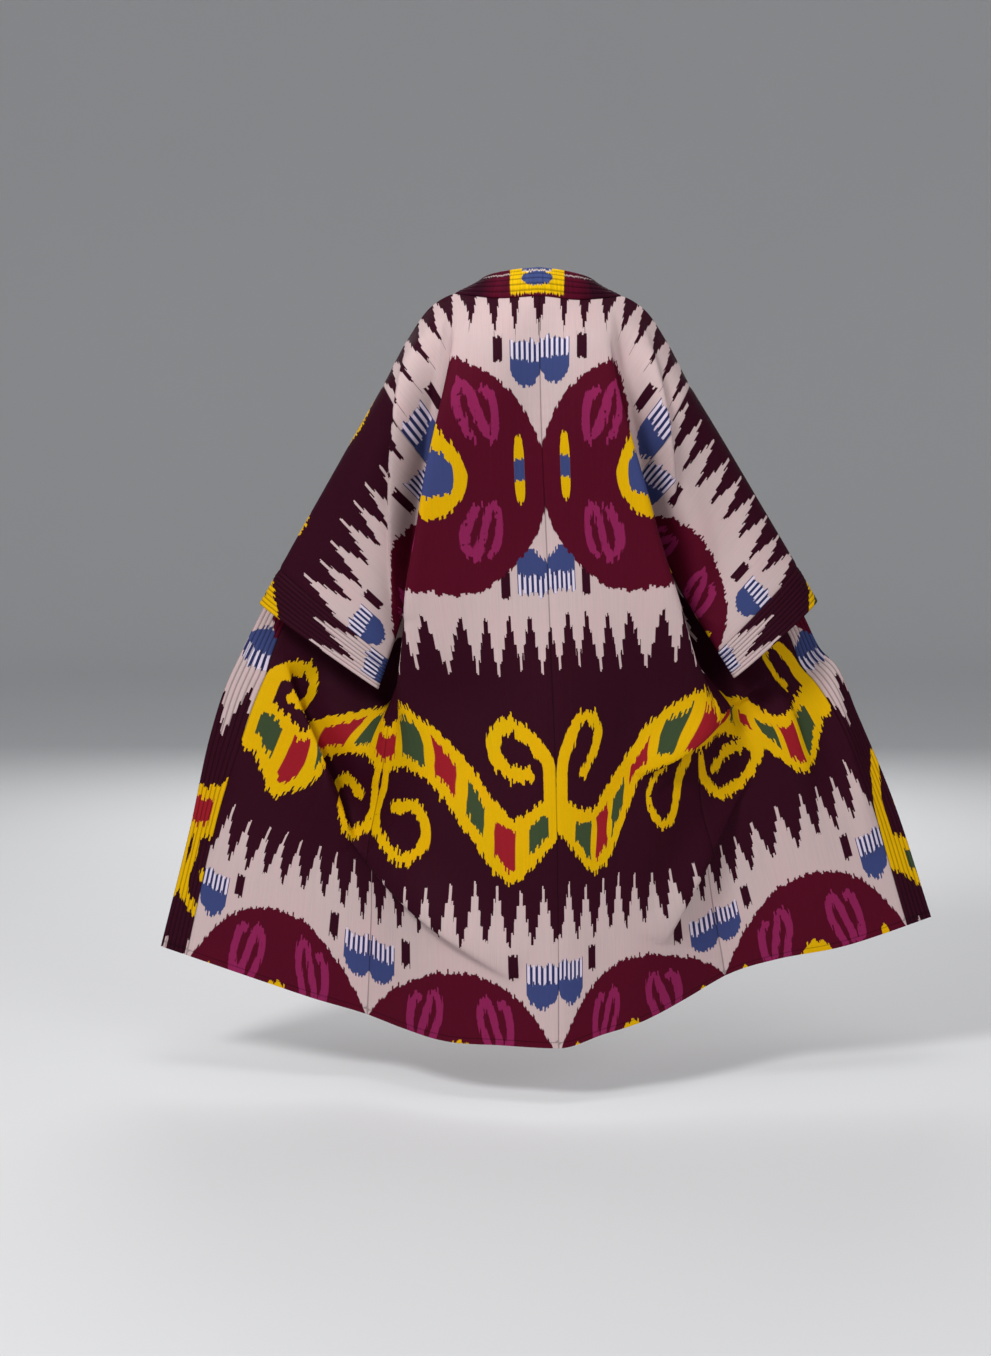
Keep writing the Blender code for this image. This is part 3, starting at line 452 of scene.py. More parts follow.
# Folds pulled into the cloth, as soft ridges towards the back. Each runs from its start
# by its middle to its end, given as (out, z); then come its width towards the robe's
# middle and away from it, its height, its overhang and the cloth hidden under it, all in
# millimetres.
folds = {
    "left": (
        ("sleeve", (150, -90), (186, -360), (224, -600), 6, 24, -14, 0, 0),
        ("sleeve", (196, -90), (221, -330), (224, -560), 34, 9, 28, 14, 48),
        ("sleeve", (250, -250), (290, -360), (345, -500), 30, 30, 7, 0, 0),
        ("skirt", (392, -680), (356, -812), (266, -930), 48, 14, -52, 0, 0),
        ("skirt", (420, -670), (382, -800), (296, -925), 11, 45, 22, -32, 0),
        ("skirt", (322, -882), (214, -996), (35, -1120), 50, 10, 27, 12, 0),
        ("skirt", (262, -690), (248, -750), (266, -840), 12, 20, 12, 0, 0),
        ("skirt", (470, -680), (500, -860), (520, -1100), 30, 34, 9, 0, 0),
    ),
    "right": (
        ("sleeve", (124, -110), (176, -370), (252, -590), 6, 26, -15, 0, 0),
        ("sleeve", (170, -130), (195, -270), (212, -410), 26, 8, 18, 10, 0),
        ("sleeve", (246, -330), (292, -450), (270, -560), 24, 30, -14, 0, 0),
        ("skirt", (318, -678), (243, -743), (157, -806), 30, 6, 20, 22, 0),
        ("skirt", (311, -713), (355, -672), (405, -636), 6, 24, 12, -8, 0),
        ("skirt", (345, -690), (262, -765), (190, -850), 10, 30, -14, 0, 0),
        ("skirt", (322, -852), (250, -970), (197, -1077), 30, 7, 16, 14, 0),
        ("skirt", (476, -640), (508, -760), (560, -960), 18, 20, 14, 4, 0),
    ),
}


def foldShift(points, side, cloths):
    # each fold is a ridge whose height is a bell curve of the distance to a bent line; also
    # gives the length of cloth that lies hidden under it, past its line
    shift = np.zeros(points.shape)
    taken = np.zeros(points.shape[:-1])
    flat = points[..., [0, 2]] * np.array([sides[side], 1.0])
    least, power = drape["foldTaper"]
    run = np.linspace(0.0, 1.0, drape["foldSteps"])[:, None]
    for cloth, *row in folds[side]:
        if cloth not in cloths:
            continue
        start, middle, end = np.array(row[:3]) / 1000
        innerWidth, outerWidth, rise, lean, hidden = np.array(row[3:]) / 1000
        control = 2 * middle - (start + end) / 2
        line = (1 - run) ** 2 * start + 2 * run * (1 - run) * control + run**2 * end
        slope = np.gradient(line, axis=0)
        slope /= np.linalg.norm(slope, axis=1)[:, None]
        away = flat[..., None, :] - line
        nearest = np.argmin((away**2).sum(-1), axis=-1)
        gap = np.take_along_axis(away, nearest[..., None, None], axis=-2)[..., 0, :]
        heading = slope[nearest]
        offset = gap[..., 0] * -heading[..., 1] + gap[..., 1] * heading[..., 0]
        width = np.where(offset > 0, outerWidth, innerWidth)
        past = (gap * heading).sum(-1)
        share = least + (1 - least) * nearest / (len(run) - 1)
        taper = np.abs(np.sin(np.pi * share)) ** power
        taper *= np.exp(-((past / drape["foldEnd"]) ** 2))
        weight = taper * np.exp(-((offset / width) ** 2))
        shift[..., 1] += rise * weight
        shift[..., 0] -= sides[side] * lean * weight * heading[..., 1]
        shift[..., 2] += lean * weight * heading[..., 0]
        taken += hidden * taper**2 * ramp(-offset, -0.006, 0.002)
    return shift, taken


# where the cloth is gathered at a side: how far the seam is drawn round to the back, from
# and to what height, how slowly it comes back below, and how far round it is felt on the
# back and on the front
gathers = {"right": (0.056, 0.690, 0.765, 0.20, (0.11, 0.16))}


def gathered(side, back, front):
    # moves the points below the armhole along their rows: the shift is a bell curve of the
    # way round from the seam, the form itself stays
    if side not in gathers:
        return
    amount, start, full, fade, reach = gathers[side]
    first = mesh["upper"]
    rows = np.concatenate([back[first:], front[first:, 1:]], axis=1)
    run = runAlong(np.linalg.norm(np.diff(rows, axis=1), axis=2))
    past = run - run[:, back.shape[1] - 1][:, None]
    depth = -back[first:, -1, 2][:, None]
    size = amount * ramp(depth, start, full) * np.exp(-((np.maximum(depth - full, 0) / fade) ** 2))
    wanted = run - size * np.exp(-((past / np.where(past < 0, *reach)) ** 2))
    at, share = [found[..., None] for found in readAt(run, wanted)]
    near = np.take_along_axis(rows, at, 1)
    rows = near + (np.take_along_axis(rows, at + 1, 1) - near) * share
    back[first:] = rows[:, : back.shape[1]]
    front[first:, 1:] = rows[:, back.shape[1] :]


def sewn(back, front, sleeve):
    # lays the shared edges of a side's pieces on each other
    upper = mesh["upper"]
    front[0, : panel + 1] = back[0, mesh["neck"] :][::-1]
    front[upper:, 0] = back[upper:, -1]
    sleeve[0, upper:] = back[: upper + 1, -1]
    sleeve[0, : upper + 1] = front[: upper + 1, 0][::-1]


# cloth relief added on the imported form, in metres
relief = {
    "swell": 0.0016,
    "swellLength": 2.4,
    "seamDip": 0.0011,
    "seamWidth": 0.0045,
    "pucker": 0.0005,
    "puckerLength": 0.023,
    "puckerReach": 0.014,
    "rowRise": 0.0007,
}
# waves of the slow swell: a direction, as waves in each length, and the wave's start
swells = np.array(
    [
        (5.1, 2.3, 1.7, 0.3), (-3.7, 4.1, 2.9, 1.1), (9.3, -3.1, 2.1, 2.2),
        (6.7, 5.9, -3.3, 0.7), (-11.9, 3.7, 3.1, 4.1), (14.3, 7.7, -2.3, 5.2),
    ]
)


def swell(points):
    # a sum of slow waves of the place itself, so neighbouring pieces move alike
    phase = points @ swells[:, :3].T * 2 * np.pi / relief["swellLength"] + swells[:, 3]
    weight = 1 / (1 + np.arange(len(swells)) * 0.35)
    return relief["swell"] * (np.sin(phase) * weight).sum(-1) / weight.sum()


def seamRelief(distance, run):
    # a seam lies in a dip: minus a bell curve of the distance to it, and its puckers are
    # waves along it that die away over a short reach
    dip = -relief["seamDip"] * np.exp(-((distance / relief["seamWidth"]) ** 2))
    phase = run * 2 * np.pi / relief["puckerLength"] + 1.7 * np.sin(run * 31)
    waves = np.sin(phase) * np.sin(run * 13 + 1)
    near = np.exp(-distance / relief["puckerReach"]) * ramp(distance, 0.0, 0.006)
    return dip + relief["pucker"] * waves * near


def quads(rows, columns, flip):
    # vertex numbers of a grid's quads
    i, j = np.meshgrid(np.arange(rows - 1), np.arange(columns - 1), indexing="ij")
    first = (i * columns + j).reshape(-1)
    faces = np.stack([first, first + 1, first + columns + 1, first + columns], -1)
    return faces[:, ::-1] if flip else faces


def cornerNormals(corners, normal, count):
    # the sum of the faces' normals at each of the corners' points, made one long
    total = np.zeros((count, 3))
    for k in range(4):
        for axis in range(3):
            weights = normal[:, axis]
            total[:, axis] += np.bincount(corners[:, k], weights=weights, minlength=count)
    return total / np.linalg.norm(total, axis=1)[:, None]


def setNormals():
    # a normal for each grid point from the crossed diagonals of the quads round it, the
    # same for points that grids share, unless the shared one points inwards there
    every = list(grids.values())
    points = np.concatenate([grid["points"].reshape(-1, 3) for grid in every])
    starts = np.cumsum([0] + [grid["points"][..., 0].size for grid in every])
    faces = [
        quads(*grid["points"].shape[:2], grid["flip"]) + start for grid, start in zip(every, starts)
    ]
    faces = np.concatenate(faces)
    corner = points[faces]
    normal = np.cross(corner[:, 2] - corner[:, 0], corner[:, 3] - corner[:, 1])
    _, shared = np.unique(np.round(points, 6), axis=0, return_inverse=True)
    shared = shared.reshape(-1)
    normals = cornerNormals(shared[faces], normal, shared.max() + 1)[shared]
    own = cornerNormals(faces, normal, len(points))
    against = (own * normals).sum(-1) < 0
    normals[against] = own[against]
    for grid, a, b in zip(every, starts, starts[1:]):
        grid["normals"] = normals[a:b].reshape(grid["points"].shape)


def linked(name, data):
    # an object of the data, in the scene
    made = bpy.data.objects.new(name, data)
    bpy.context.scene.collection.objects.link(made)
    return made


def shell(name, points, normals, flip, rise, uv, fields, materials):
    # a closed wall of cloth: the grid moved out and in by half the wall along its normals
    # and joined round its edges, with its cloth coordinates and fields on the points
    rows, columns = points.shape[:2]
    count = rows * columns
    outer = points + normals * (cut["wall"] / 2 + np.broadcast_to(rise, (rows, columns)))[..., None]
    inner = points - normals * cut["wall"] / 2
    skin = quads(rows, columns, flip)
    top = np.arange(columns)
    right = np.arange(rows) * columns + columns - 1
    loop = np.concatenate(
        [top[:-1], right[:-1], (top + count - columns)[:0:-1], (right - columns + 1)[::-1]]
    )
    edge = np.stack([loop[1:], loop[:-1], loop[:-1] + count, loop[1:] + count], -1)
    edge = edge[:, ::-1] if flip else edge
    faces = np.concatenate([skin, skin[:, ::-1] + count, edge])
    data = bpy.data.meshes.new(name)
    data.vertices.add(2 * count)
    data.vertices.foreach_set("co", np.concatenate([outer, inner]).reshape(-1))
    data.loops.add(faces.size)
    data.loops.foreach_set("vertex_index", faces.reshape(-1).astype(np.int32))
    data.polygons.add(len(faces))
    data.polygons.foreach_set("loop_start", np.arange(0, faces.size, 4, dtype=np.int32))
    data.update(calc_edges=True)
    data.validate()
    reverse = np.zeros(len(faces), np.int32)
    reverse[len(skin) : 2 * len(skin)] = 1
    data.polygons.foreach_set("material_index", reverse)
    corners = uv.reshape(-1, 2)[faces.reshape(-1) % count]
    cloth = data.uv_layers.new(name="cloth")
    cloth.data.foreach_set("uv", corners.reshape(-1).astype(np.float32))
    for label, values in fields.items():
        attribute = data.attributes.new(label, "FLOAT", "POINT")
        values = np.tile(np.broadcast_to(values, (rows, columns)).reshape(-1), 2)
        attribute.data.foreach_set("value", values.astype(np.float32))
    data.shade_smooth()
    data.set_sharp_from_angle(angle=np.radians(50))
    for material in materials:
        data.materials.append(material)
    return linked(name, data)


# The ikat's drawn lines in cloth coordinates, single sizes in metres and rows in
# millimetres: the river's places with its centre and half thickness, the ends of its
# cells, and the middle lines and half widths of the ear in the disc, the hook by the inner
# selvedge and the scroll by the outer one. The fronts have a river of their own.
motif = {
    "repeat": 0.98,
    "from": -0.30,
    "earMirror": 0.332,
    "border": 0.0185,
    "riverFrom": 0.25,
    "earMiddle": 0.163,
    "slopeReach": 0.004,
    "ear": (
        (49, 276), (41, 254), (34, 226), (36, 202), (46, 199), (54, 220), (61, 245), (70, 273),
        (81, 274), (84, 245), (80, 218), (69, 203),
    ),
    "earHalf": (5.8, 6.6),
    "left": {
        "river": (
            (-50, 880, 30), (0, 880, 34), (30, 900, 44), (72, 933, 52), (145, 860, 54),
            (210, 787, 52), (262, 757, 51), (318, 785, 38), (370, 760, 50),
        ),
        "frontRiver": (
            (-50, 866, 30), (0, 866, 34), (35, 882, 42), (78, 903, 48), (115, 876, 48),
            (150, 843, 49), (210, 787, 52), (262, 757, 51), (318, 785, 38), (370, 760, 50),
        ),
        "cells": (12, 47, 68, 105, 122, 155, 175, 215, 230, 278, 295, 340),
        "frontCells": (12, 47, 64, 94, 112, 145, 170, 215, 230, 278, 295, 340),
        "hook": (
            (10, 905), (10, 850), (12, 800), (25, 775), (45, 753), (78, 732), (103, 750),
            (108, 780), (84, 806), (50, 812),
        ),
        "hookHalf": (11.5, 12.5),
        "scroll": (
            (314, 800), (310, 850), (315, 905), (288, 940), (250, 955), (221, 928), (224, 893),
            (252, 869), (280, 880),
        ),
        "scrollHalf": (6.5, 10.5),
    },
    "right": {
        "river": (
            (-50, 880, 30), (0, 868, 28), (35, 895, 36), (82, 916, 56), (112, 884, 64),
            (145, 830, 54), (180, 775, 44), (235, 740, 46), (275, 735, 45), (320, 752, 36),
            (370, 740, 50),
        ),
        "frontRiver": (
            (-50, 870, 30), (0, 864, 28), (35, 876, 36), (70, 888, 48), (103, 890, 56),
            (135, 868, 56), (165, 822, 50), (195, 776, 46), (235, 745, 46), (275, 735, 45),
            (320, 752, 36), (370, 740, 50),
        ),
        "cells": (34, 72, 80, 106, 112, 140, 150, 186, 203, 240, 260, 310),
        "frontCells": (40, 90, 101, 132, 139, 161, 167, 180, 187, 226, 260, 310),
        "hook": (
            (11, 895), (11, 840), (14, 795), (26, 760), (40, 732), (58, 716), (74, 728), (80, 748),
            (72, 775), (52, 812),
        ),
        "hookHalf": (11.5, 7),
        "scroll": (
            (305, 780), (282, 830), (270, 872), (252, 902), (230, 900), (208, 868), (204, 842),
            (222, 818), (246, 800),
        ),
        "scrollHalf": (9.5, 6),
        "frontScroll": (
            (320, 800), (312, 834), (290, 868), (245, 892), (200, 899), (177, 876), (186, 846),
            (228, 829), (282, 831),
        ),
        "frontScrollHalf": (8.5, 11),
    },
}


def strokeField(u, v, drawn, name):
    # distance to a smooth line through the points, less the stroke's half width, and how
    # fast it changes down the cloth
    places = np.linspace(0.0, 1.0, len(drawn[name]))
    table = np.column_stack([places, np.array(drawn[name]) / 1000])
    line = curve(table, np.linspace(0.0, 1.0, 150))
    first, last = drawn[name + "Half"]
    best = np.full(u.shape, np.inf)
    slope = np.zeros(u.shape)
    for (x, y), half in zip(line, np.linspace(first, last, len(line)) / 1000):
        away = np.hypot(u - x, v - y)
        nearer = away - half < best
        slope = np.where(nearer, (v - y) / np.maximum(away, 1e-4), slope)
        best = np.where(nearer, away - half, best)
    return best, slope


def ikatFields(side, u, v, drop, front):
    # the river's centre and half thickness, the cells' count and the strokes' distance at
    # each point; drop moves the river and its strokes down the cloth
    drawn = motif[side]
    riverName, cellsName = ("frontRiver", "frontCells") if front else ("river", "cells")
    scrollName = "frontScroll" if front and "frontScroll" in drawn else "scroll"
    start, repeat, mirror = motif["from"], motif["repeat"], motif["earMirror"]
    down = (v - drop - start) % repeat + start
    down = np.where(down < motif["riverFrom"], down + repeat, down)
    folded = cut["strip"] - np.abs(cut["strip"] - np.abs(u))
    river = along(drawn[riverName], folded)
    # the borders keep one thickness over the line: the half less a border times the
    # length of the line's slope
    reach = motif["slopeReach"]
    before, after = [along(drawn[riverName], folded + step)[..., 0] for step in (-reach, reach)]
    border = motif["border"] * np.sqrt(1 + ((after - before) / (2 * reach)) ** 2)
    ends = np.array(drawn[cellsName]) / 1000
    counts = 0.25 + 0.5 * np.arange(len(ends))
    hook, hookSlope = strokeField(folded, down, drawn, "hook")
    scroll, scrollSlope = strokeField(folded, down, drawn, scrollName)
    disc = (v - start) % repeat + start
    fromMiddle = np.abs(folded - motif["earMiddle"])
    ear, earSlope = strokeField(fromMiddle, mirror - np.abs(disc - mirror), motif, "ear")
    earSlope = np.where(disc > mirror, -earSlope, earSlope)
    curl = np.minimum(np.minimum(hook, scroll), ear)
    slope = np.where(hook < scroll, hookSlope, scrollSlope)
    return {
        "riverCentre": river[..., 0] - repeat + drop,
        "riverHalf": river[..., 1],
        "cellHalf": river[..., 1] - border,
        "cell": np.interp(folded, ends, counts, left=0.0, right=counts[-1] + 0.2),
        "curl": curl,
        "curlSlope": np.where(ear > curl, slope, earSlope),
    }


# dyes, as red, green and blue out of 255
dyes = {
    "plum": (47, 8, 25),
    "wine": (80, 8, 32),
    "magenta": (134, 33, 82),
    "white": (198, 179, 177),
    "bright": (214, 208, 226),
    "blue": (58, 70, 118),
    "navy": (36, 40, 80),
    "yellow": (216, 172, 0),
    "green": (58, 74, 48),
    "red": (146, 27, 38),
    "inside": (140, 112, 112),
}


def dye(name):
    # the share of each light that a dye gives back: its byte, undone from the screen curve
    share = np.array(dyes[name]) / 255
    linear = np.where(share <= 0.04045, share / 12.92, ((share + 0.055) / 1.055) ** 2.4)
    return (*linear.tolist(), 1.0)


def mathsStep(operation, *first):
    # a method of a value that makes a maths node of it and the others
    return lambda self, *others: self.maths(operation, *first, *others)


class Value:
    # a node's output that takes part in plain sums, each step of which is a maths node
    def __init__(self, socket):
        self.socket = socket

    def maths(self, operation, *others, clamp=False):
        inputs = dict(enumerate((self, *others)))
        settings = {"operation": operation, "use_clamp": clamp}
        return make(self.socket.id_data, "ShaderNodeMath", inputs, **settings)

    __add__ = __radd__ = mathsStep("ADD")
    __sub__ = mathsStep("SUBTRACT")
    __rsub__ = mathsStep("MULTIPLY_ADD", -1.0)
    __mul__ = mathsStep("MULTIPLY")
    __truediv__ = mathsStep("DIVIDE")
    __pow__ = mathsStep("POWER")
    __abs__ = mathsStep("ABSOLUTE")


def make(tree, kind, inputs=None, output=0, **settings):
    # a node with its settings, and its inputs linked or set; gives one of its outputs
    node = tree.nodes.new(kind)
    for name, value in settings.items():
        setattr(node, name, value)
    for name, value in (inputs or {}).items():
        if isinstance(value, Value):
            tree.links.new(value.socket, node.inputs[name])
        else:
            node.inputs[name].default_value = value
    return Value(node.outputs[output])


def gate(value, soft):
    # rises from 0 to 1 where the value goes up through 0, over the width soft
    return value.maths("MULTIPLY_ADD", 1 / soft, 0.5, clamp=True)


def inside(value, half, soft):
    # 1 where the value is within the half of 0, with soft edges
    return gate(half - abs(value), soft)


def oval(x, y, halfX, halfY, power):
    # one less the sum of both shares raised to the power: above 0 inside
    return 1.0 - (abs(x / halfX) ** power + abs(y / halfY) ** power)


def noise(x, y, detail=2.0, rough=0.5):
    # flat noise about 0
    tree = x.socket.id_data
    place = make(tree, "ShaderNodeCombineXYZ", {0: x, 1: y})
    inputs = {"Vector": place, "Scale": 1.0, "Detail": detail, "Roughness": rough}
    return make(tree, "ShaderNodeTexNoise", inputs, noise_dimensions="2D") - 0.5


def layer(base, top, mask):
    # one colour over another where the mask is 1
    tree = (mask if isinstance(mask, Value) else base).socket.id_data
    return make(tree, "ShaderNodeMix", {0: mask, 6: base, 7: top}, 2, data_type="RGBA")


def scaled(colour, by):
    # a colour times a value
    tree = colour.socket.id_data
    return make(tree, "ShaderNodeVectorMath", {0: colour, 3: by}, operation="SCALE")


def field(tree, name):
    # one of the fields on the points
    return make(tree, "ShaderNodeAttribute", output="Fac", attribute_name=name)


def clothPlace(tree):
    # the cloth's own coordinates: metres over the strip and metres down it
    place = make(tree, "ShaderNodeUVMap", uv_map="cloth")
    return [make(tree, "ShaderNodeSeparateXYZ", {0: place}, output) for output in (0, 1)]


# how far the threads move the pattern, and how soft its edges are
weave = {
    "bundle": 0.0026,
    "feather": 0.026,
    "spikes": 0.010,
    "drift": 0.007,
    "threads": 1400.0,
    "edge": 0.0015,
    "sideEdge": 0.0008,
    "strokeEdge": 0.0012,
}
# What is dyed, in metres. Things lie out from the discs' line down the strip, at a level
# or at a distance from the level where the pattern turns back on itself.
ikat = {
    "middle": 0.163,
    "turn": 0.3255,
    "toothPitch": 0.0375,
    "toothTier": 0.0215,
    "toothTip": (0.0022, 0.0068),
    "toothStep": (0.0042, 0.0029),
    "toothScatter": 0.014,
    "toothEdge": 0.0007,
    "tips": (0.012, 0.652),
    "tipShift": (-0.0030, 0.0038),
    "block": {"out": 0.0905, "fromTurn": 0.187, "half": (0.0078, 0.0205)},
    "comb": {"half": 0.052, "lobe": 0.027, "rise": 0.024, "bottom": 0.128, "top": 0.198},
    "combTooth": {"pitch": 0.0088, "scatter": 0.010, "bottom": 0.1705},
    "combLowered": {"from": 0.74, "by": 0.009},
    "disc": {"level": 0.3425, "half": (0.1705, 0.188), "power": 1.85},
    "eye": {"level": 0.340, "half": (0.0435, 0.075), "power": 1.6},
    "core": {"level": 0.340, "half": (0.029, 0.037), "power": 2.6},
    "sliver": {"out": 0.1225, "level": 0.326, "half": (0.0088, 0.052), "power": 3.2},
    "sliverBlue": 0.0165,
    "earReach": 0.20,
}


def ikatGroup():
    # The dyed pattern. Every edge is a function of u and of v shifted by a noise of u, so
    # edges across the warp run out in fine points and edges along it stay clean.
    tree = bpy.data.node_groups.new("ikatDyes", "ShaderNodeTree")
    tree.interface.new_socket("Color", in_out="OUTPUT", socket_type="NodeSocketColor")
    tree.interface.new_socket("Height", in_out="OUTPUT", socket_type="NodeSocketFloat")
    edge, sideEdge = weave["edge"], weave["sideEdge"]
    u, v = clothPlace(tree)

    def scatter(count, seed):
        # a chance value about 0 for each whole count
        place = count.maths("FLOOR") + seed
        return make(tree, "ShaderNodeTexWhiteNoise", {"W": place}, noise_dimensions="1D") - 0.5

    # v shifted thread by thread, and brought back into one repeat
    fine = noise((u / weave["bundle"]).maths("FLOOR") * 7.31, v * 9.0, 2.0, 0.65)
    shift = fine * weave["feather"] + noise(u * 46.0, v * 7.0, 1.0) * weave["drift"]
    strong = fine * weave["spikes"] + shift
    level = (v + shift).maths("WRAP", motif["from"] + motif["repeat"], motif["from"])
    across = noise(u * 17.0, v) * 0.012 + u
    fromMiddle = abs(u - ikat["middle"])
    fromTurn = abs(level - ikat["turn"])

    # stepped teeth: a tooth is wider by a step for each tier down from its tip; blunt ones
    # start wider and grow by less
    blunt = field(tree, "blunt")
    tip, step = [blunt * (b - a) + a for a, b in (ikat["toothTip"], ikat["toothStep"])]

    def teeth(depth, offset, seed):
        count = (across + offset) / ikat["toothPitch"]
        apart = abs(count.maths("FRACT") - 0.5)
        depth = scatter(count, seed) * ikat["toothScatter"] + depth
        tiers = (depth / ikat["toothTier"]).maths("FLOOR")
        return gate(tiers * step + tip - apart * ikat["toothPitch"], ikat["toothEdge"])

    tipsUp = teeth(level - ikat["tips"][0], ikat["tipShift"][0], 3.0)
    tipsDown = teeth(ikat["tips"][1] - level, ikat["tipShift"][1], 11.0)
    size = ikat["block"]
    block = inside(fromMiddle - size["out"], size["half"][0], sideEdge)
    block = block * inside(fromTurn - size["fromTurn"], size["half"][1], edge)

    # comb: rounded towards the middle of the strip's length, teeth away from it; those of
    # the lower repeat lie a little lower
    size, tooth = ikat["comb"], ikat["combTooth"]
    fromSelvedge = ikat["middle"] - fromMiddle
    lowered = ikat["combLowered"]
    combLevel = fromTurn + gate(v - lowered["from"], 0.05) * lowered["by"]
    lobe = ((fromSelvedge - size["lobe"]) / size["lobe"]) ** 2.0 * size["rise"] + size["bottom"]
    count = fromSelvedge / tooth["pitch"]
    top = scatter(count, 5.0) * tooth["scatter"] + size["top"]
    comb = gate(size["half"] - fromSelvedge, sideEdge) * gate(combLevel - lobe, edge)
    comb = comb * gate(top - combLevel, edge)
    inTeeth = comb * gate(combLevel - tooth["bottom"], edge)
    combGap = inTeeth * inside(count.maths("FRACT") - 0.5, 0.25, 0.09)

    # the wine disc with its eye and slivers
    def shape(name, soft):
        size = ikat[name]
        x = fromMiddle - size["out"] if "out" in size else fromMiddle
        return gate(oval(x, level - size["level"], *size["half"], size["power"]), soft)

    disc, eye = shape("disc", 0.012), shape("eye", 0.03)
    core, sliver = shape("core", 0.04), shape("sliver", 0.12)
    sliverBlue = sliver * inside(level - ikat["sliver"]["level"], ikat["sliverBlue"], 0.002)

    # the river, its cells, its strokes, and the ears in the disc
    fromRiver = v + strong - field(tree, "riverCentre")
    fromRiver = abs(fromRiver.maths("WRAP", motif["repeat"] / 2, -motif["repeat"] / 2))
    river = gate(field(tree, "riverHalf") - fromRiver, edge)
    cell = field(tree, "cell")
    inCell = inside(cell.maths("FRACT") - 0.5, 0.25, 0.03)
    inCell = inCell * gate(field(tree, "cellHalf") - fromRiver, edge) * river
    second = gate((cell * 0.5).maths("FRACT") - 0.5, 0.01)
    curl = strong * field(tree, "curlSlope") + field(tree, "curl")
    stroke = gate(curl * -1.0, weave["strokeEdge"])
    inDisc = gate(ikat["earReach"] - fromTurn, 0.01)
    yellow = river.maths("MAXIMUM", stroke * (1.0 - inDisc))

    colour = layer(dye("plum"), dye("white"), tipsUp.maths("MINIMUM", tipsDown))
    for name, mask in (
        ("plum", block),
        ("blue", comb),
        ("navy", inTeeth * 0.8),
        ("bright", combGap),
        ("wine", disc),
        ("magenta", stroke * inDisc),
        ("yellow", eye.maths("MAXIMUM", sliver)),
        ("blue", core.maths("MAXIMUM", sliverBlue)),
        ("yellow", yellow),
    ):
        colour = layer(colour, dye(name), mask)
    colour = layer(colour, layer(dye("green"), dye("red"), second), inCell)

    # uneven dye along the threads
    thread = noise(u * weave["threads"], v * 14.0, 1.0)
    streak = noise(u * 260.0, v * 2.5, 2.0, 0.6)
    cloud = noise(u * 14.0, v * 9.0)
    tone = thread * 0.15 + streak * 0.20 + cloud * 0.20 + 1.0
    bled = layer((1.0, 1.0, 1.0, 1.0), (0.93, 0.80, 0.83, 1.0), gate(streak * 0.7 + cloud, 0.9))
    inputs = {0: scaled(colour, tone), 1: bled}
    tinted = make(tree, "ShaderNodeVectorMath", inputs, operation="MULTIPLY")
    out = tree.nodes.new("NodeGroupOutput")
    tree.links.new(tinted.socket, out.inputs["Color"])
    tree.links.new(thread.socket, out.inputs["Height"])
    return tree


# the cloth's sheen and fine relief, how faded its reverse is, and the groove at its seams, with
# painted shade darkening the colour in it
finish = {
    "rough": 0.62,
    "level": 0.05,
    "reverse": 0.30,
    "weaveDepth": 0.0002,
    "bump": 0.6,
    "rib": 0.0013,
    "ribHeight": 0.35,
    "threadHeight": 1.4,
    "grooveHalf": 0.0011,
    "grooveEdge": 0.0012,
    "grooveShade": 0.45,
    "grooveDeep": 2.5,
}


def clothShader(material, colour, height, faded, darker=1.0):
    # lays a colour and a fine height on the shader: faded to the reverse's tone, with a groove at
    # each
    #     seam and row of stitching, in which the colour is darkened as painted shade
    tree = material.node_tree
    shader = tree.nodes["Principled BSDF"]
    away = field(tree, "seam") - finish["grooveHalf"]
    groove = 1.0 - gate(away, finish["grooveEdge"])
    if faded:
        colour = layer(colour, dye("inside"), faded)
    # painted shade: the colour is darkened along the seam groove and the rows of stitching
    colour = scaled(colour, groove * -finish["grooveShade"] + darker)
    height = groove * -finish["grooveDeep"] + height
    inputs = {"Strength": finish["bump"], "Distance": finish["weaveDepth"], "Height": height}
    tree.links.new(make(tree, "ShaderNodeBump", inputs).socket, shader.inputs["Normal"])
    tree.links.new(colour.socket, shader.inputs["Base Color"])
    shader.inputs["Roughness"].default_value = finish["rough"]
    shader.inputs["Specular IOR Level"].default_value = finish["level"]
    return material


def newMaterial(name):
    # a material and its tree of nodes
    material = bpy.data.materials.new(name)
    material.use_nodes = True
    return material, material.node_tree


def clothMaterial(name, group, faded, darker=1.0):
    # the dyes on a silk-faced cloth with fine ribs over the warp
    material, tree = newMaterial(name)
    colour = make(tree, "ShaderNodeGroup", output="Color", node_tree=group)
    thread = Value(colour.socket.node.outputs["Height"])
    ribs = (clothPlace(tree)[1] * (2 * np.pi / finish["rib"])).maths("SINE")
    height = thread * finish["threadHeight"] + ribs * finish["ribHeight"]
    return clothShader(material, colour, height, faded, darker)


# The collar's dyes in metres, by their distance from the nape and their level on the band:
# the yellow block, its blue oval and blue cap, the pale streak between them and the long
# thin line, which climbs away from the nape.
nape = {
    "middle": 0.003,
    "block": {"half": 0.0415, "widens": 0.16, "bottom": 0.004},
    "core": {"level": 0.0245, "half": (0.0255, 0.0115)},
    "cap": {"half": 0.026, "bottom": 0.0395},
    "streak": {"half": 0.024, "level": 0.0375, "thick": 0.0016},
    "line": {"end": 0.105, "level": 0.0295, "climb": 0.06, "thick": 0.0012},
    "plumFrom": 0.085,
}


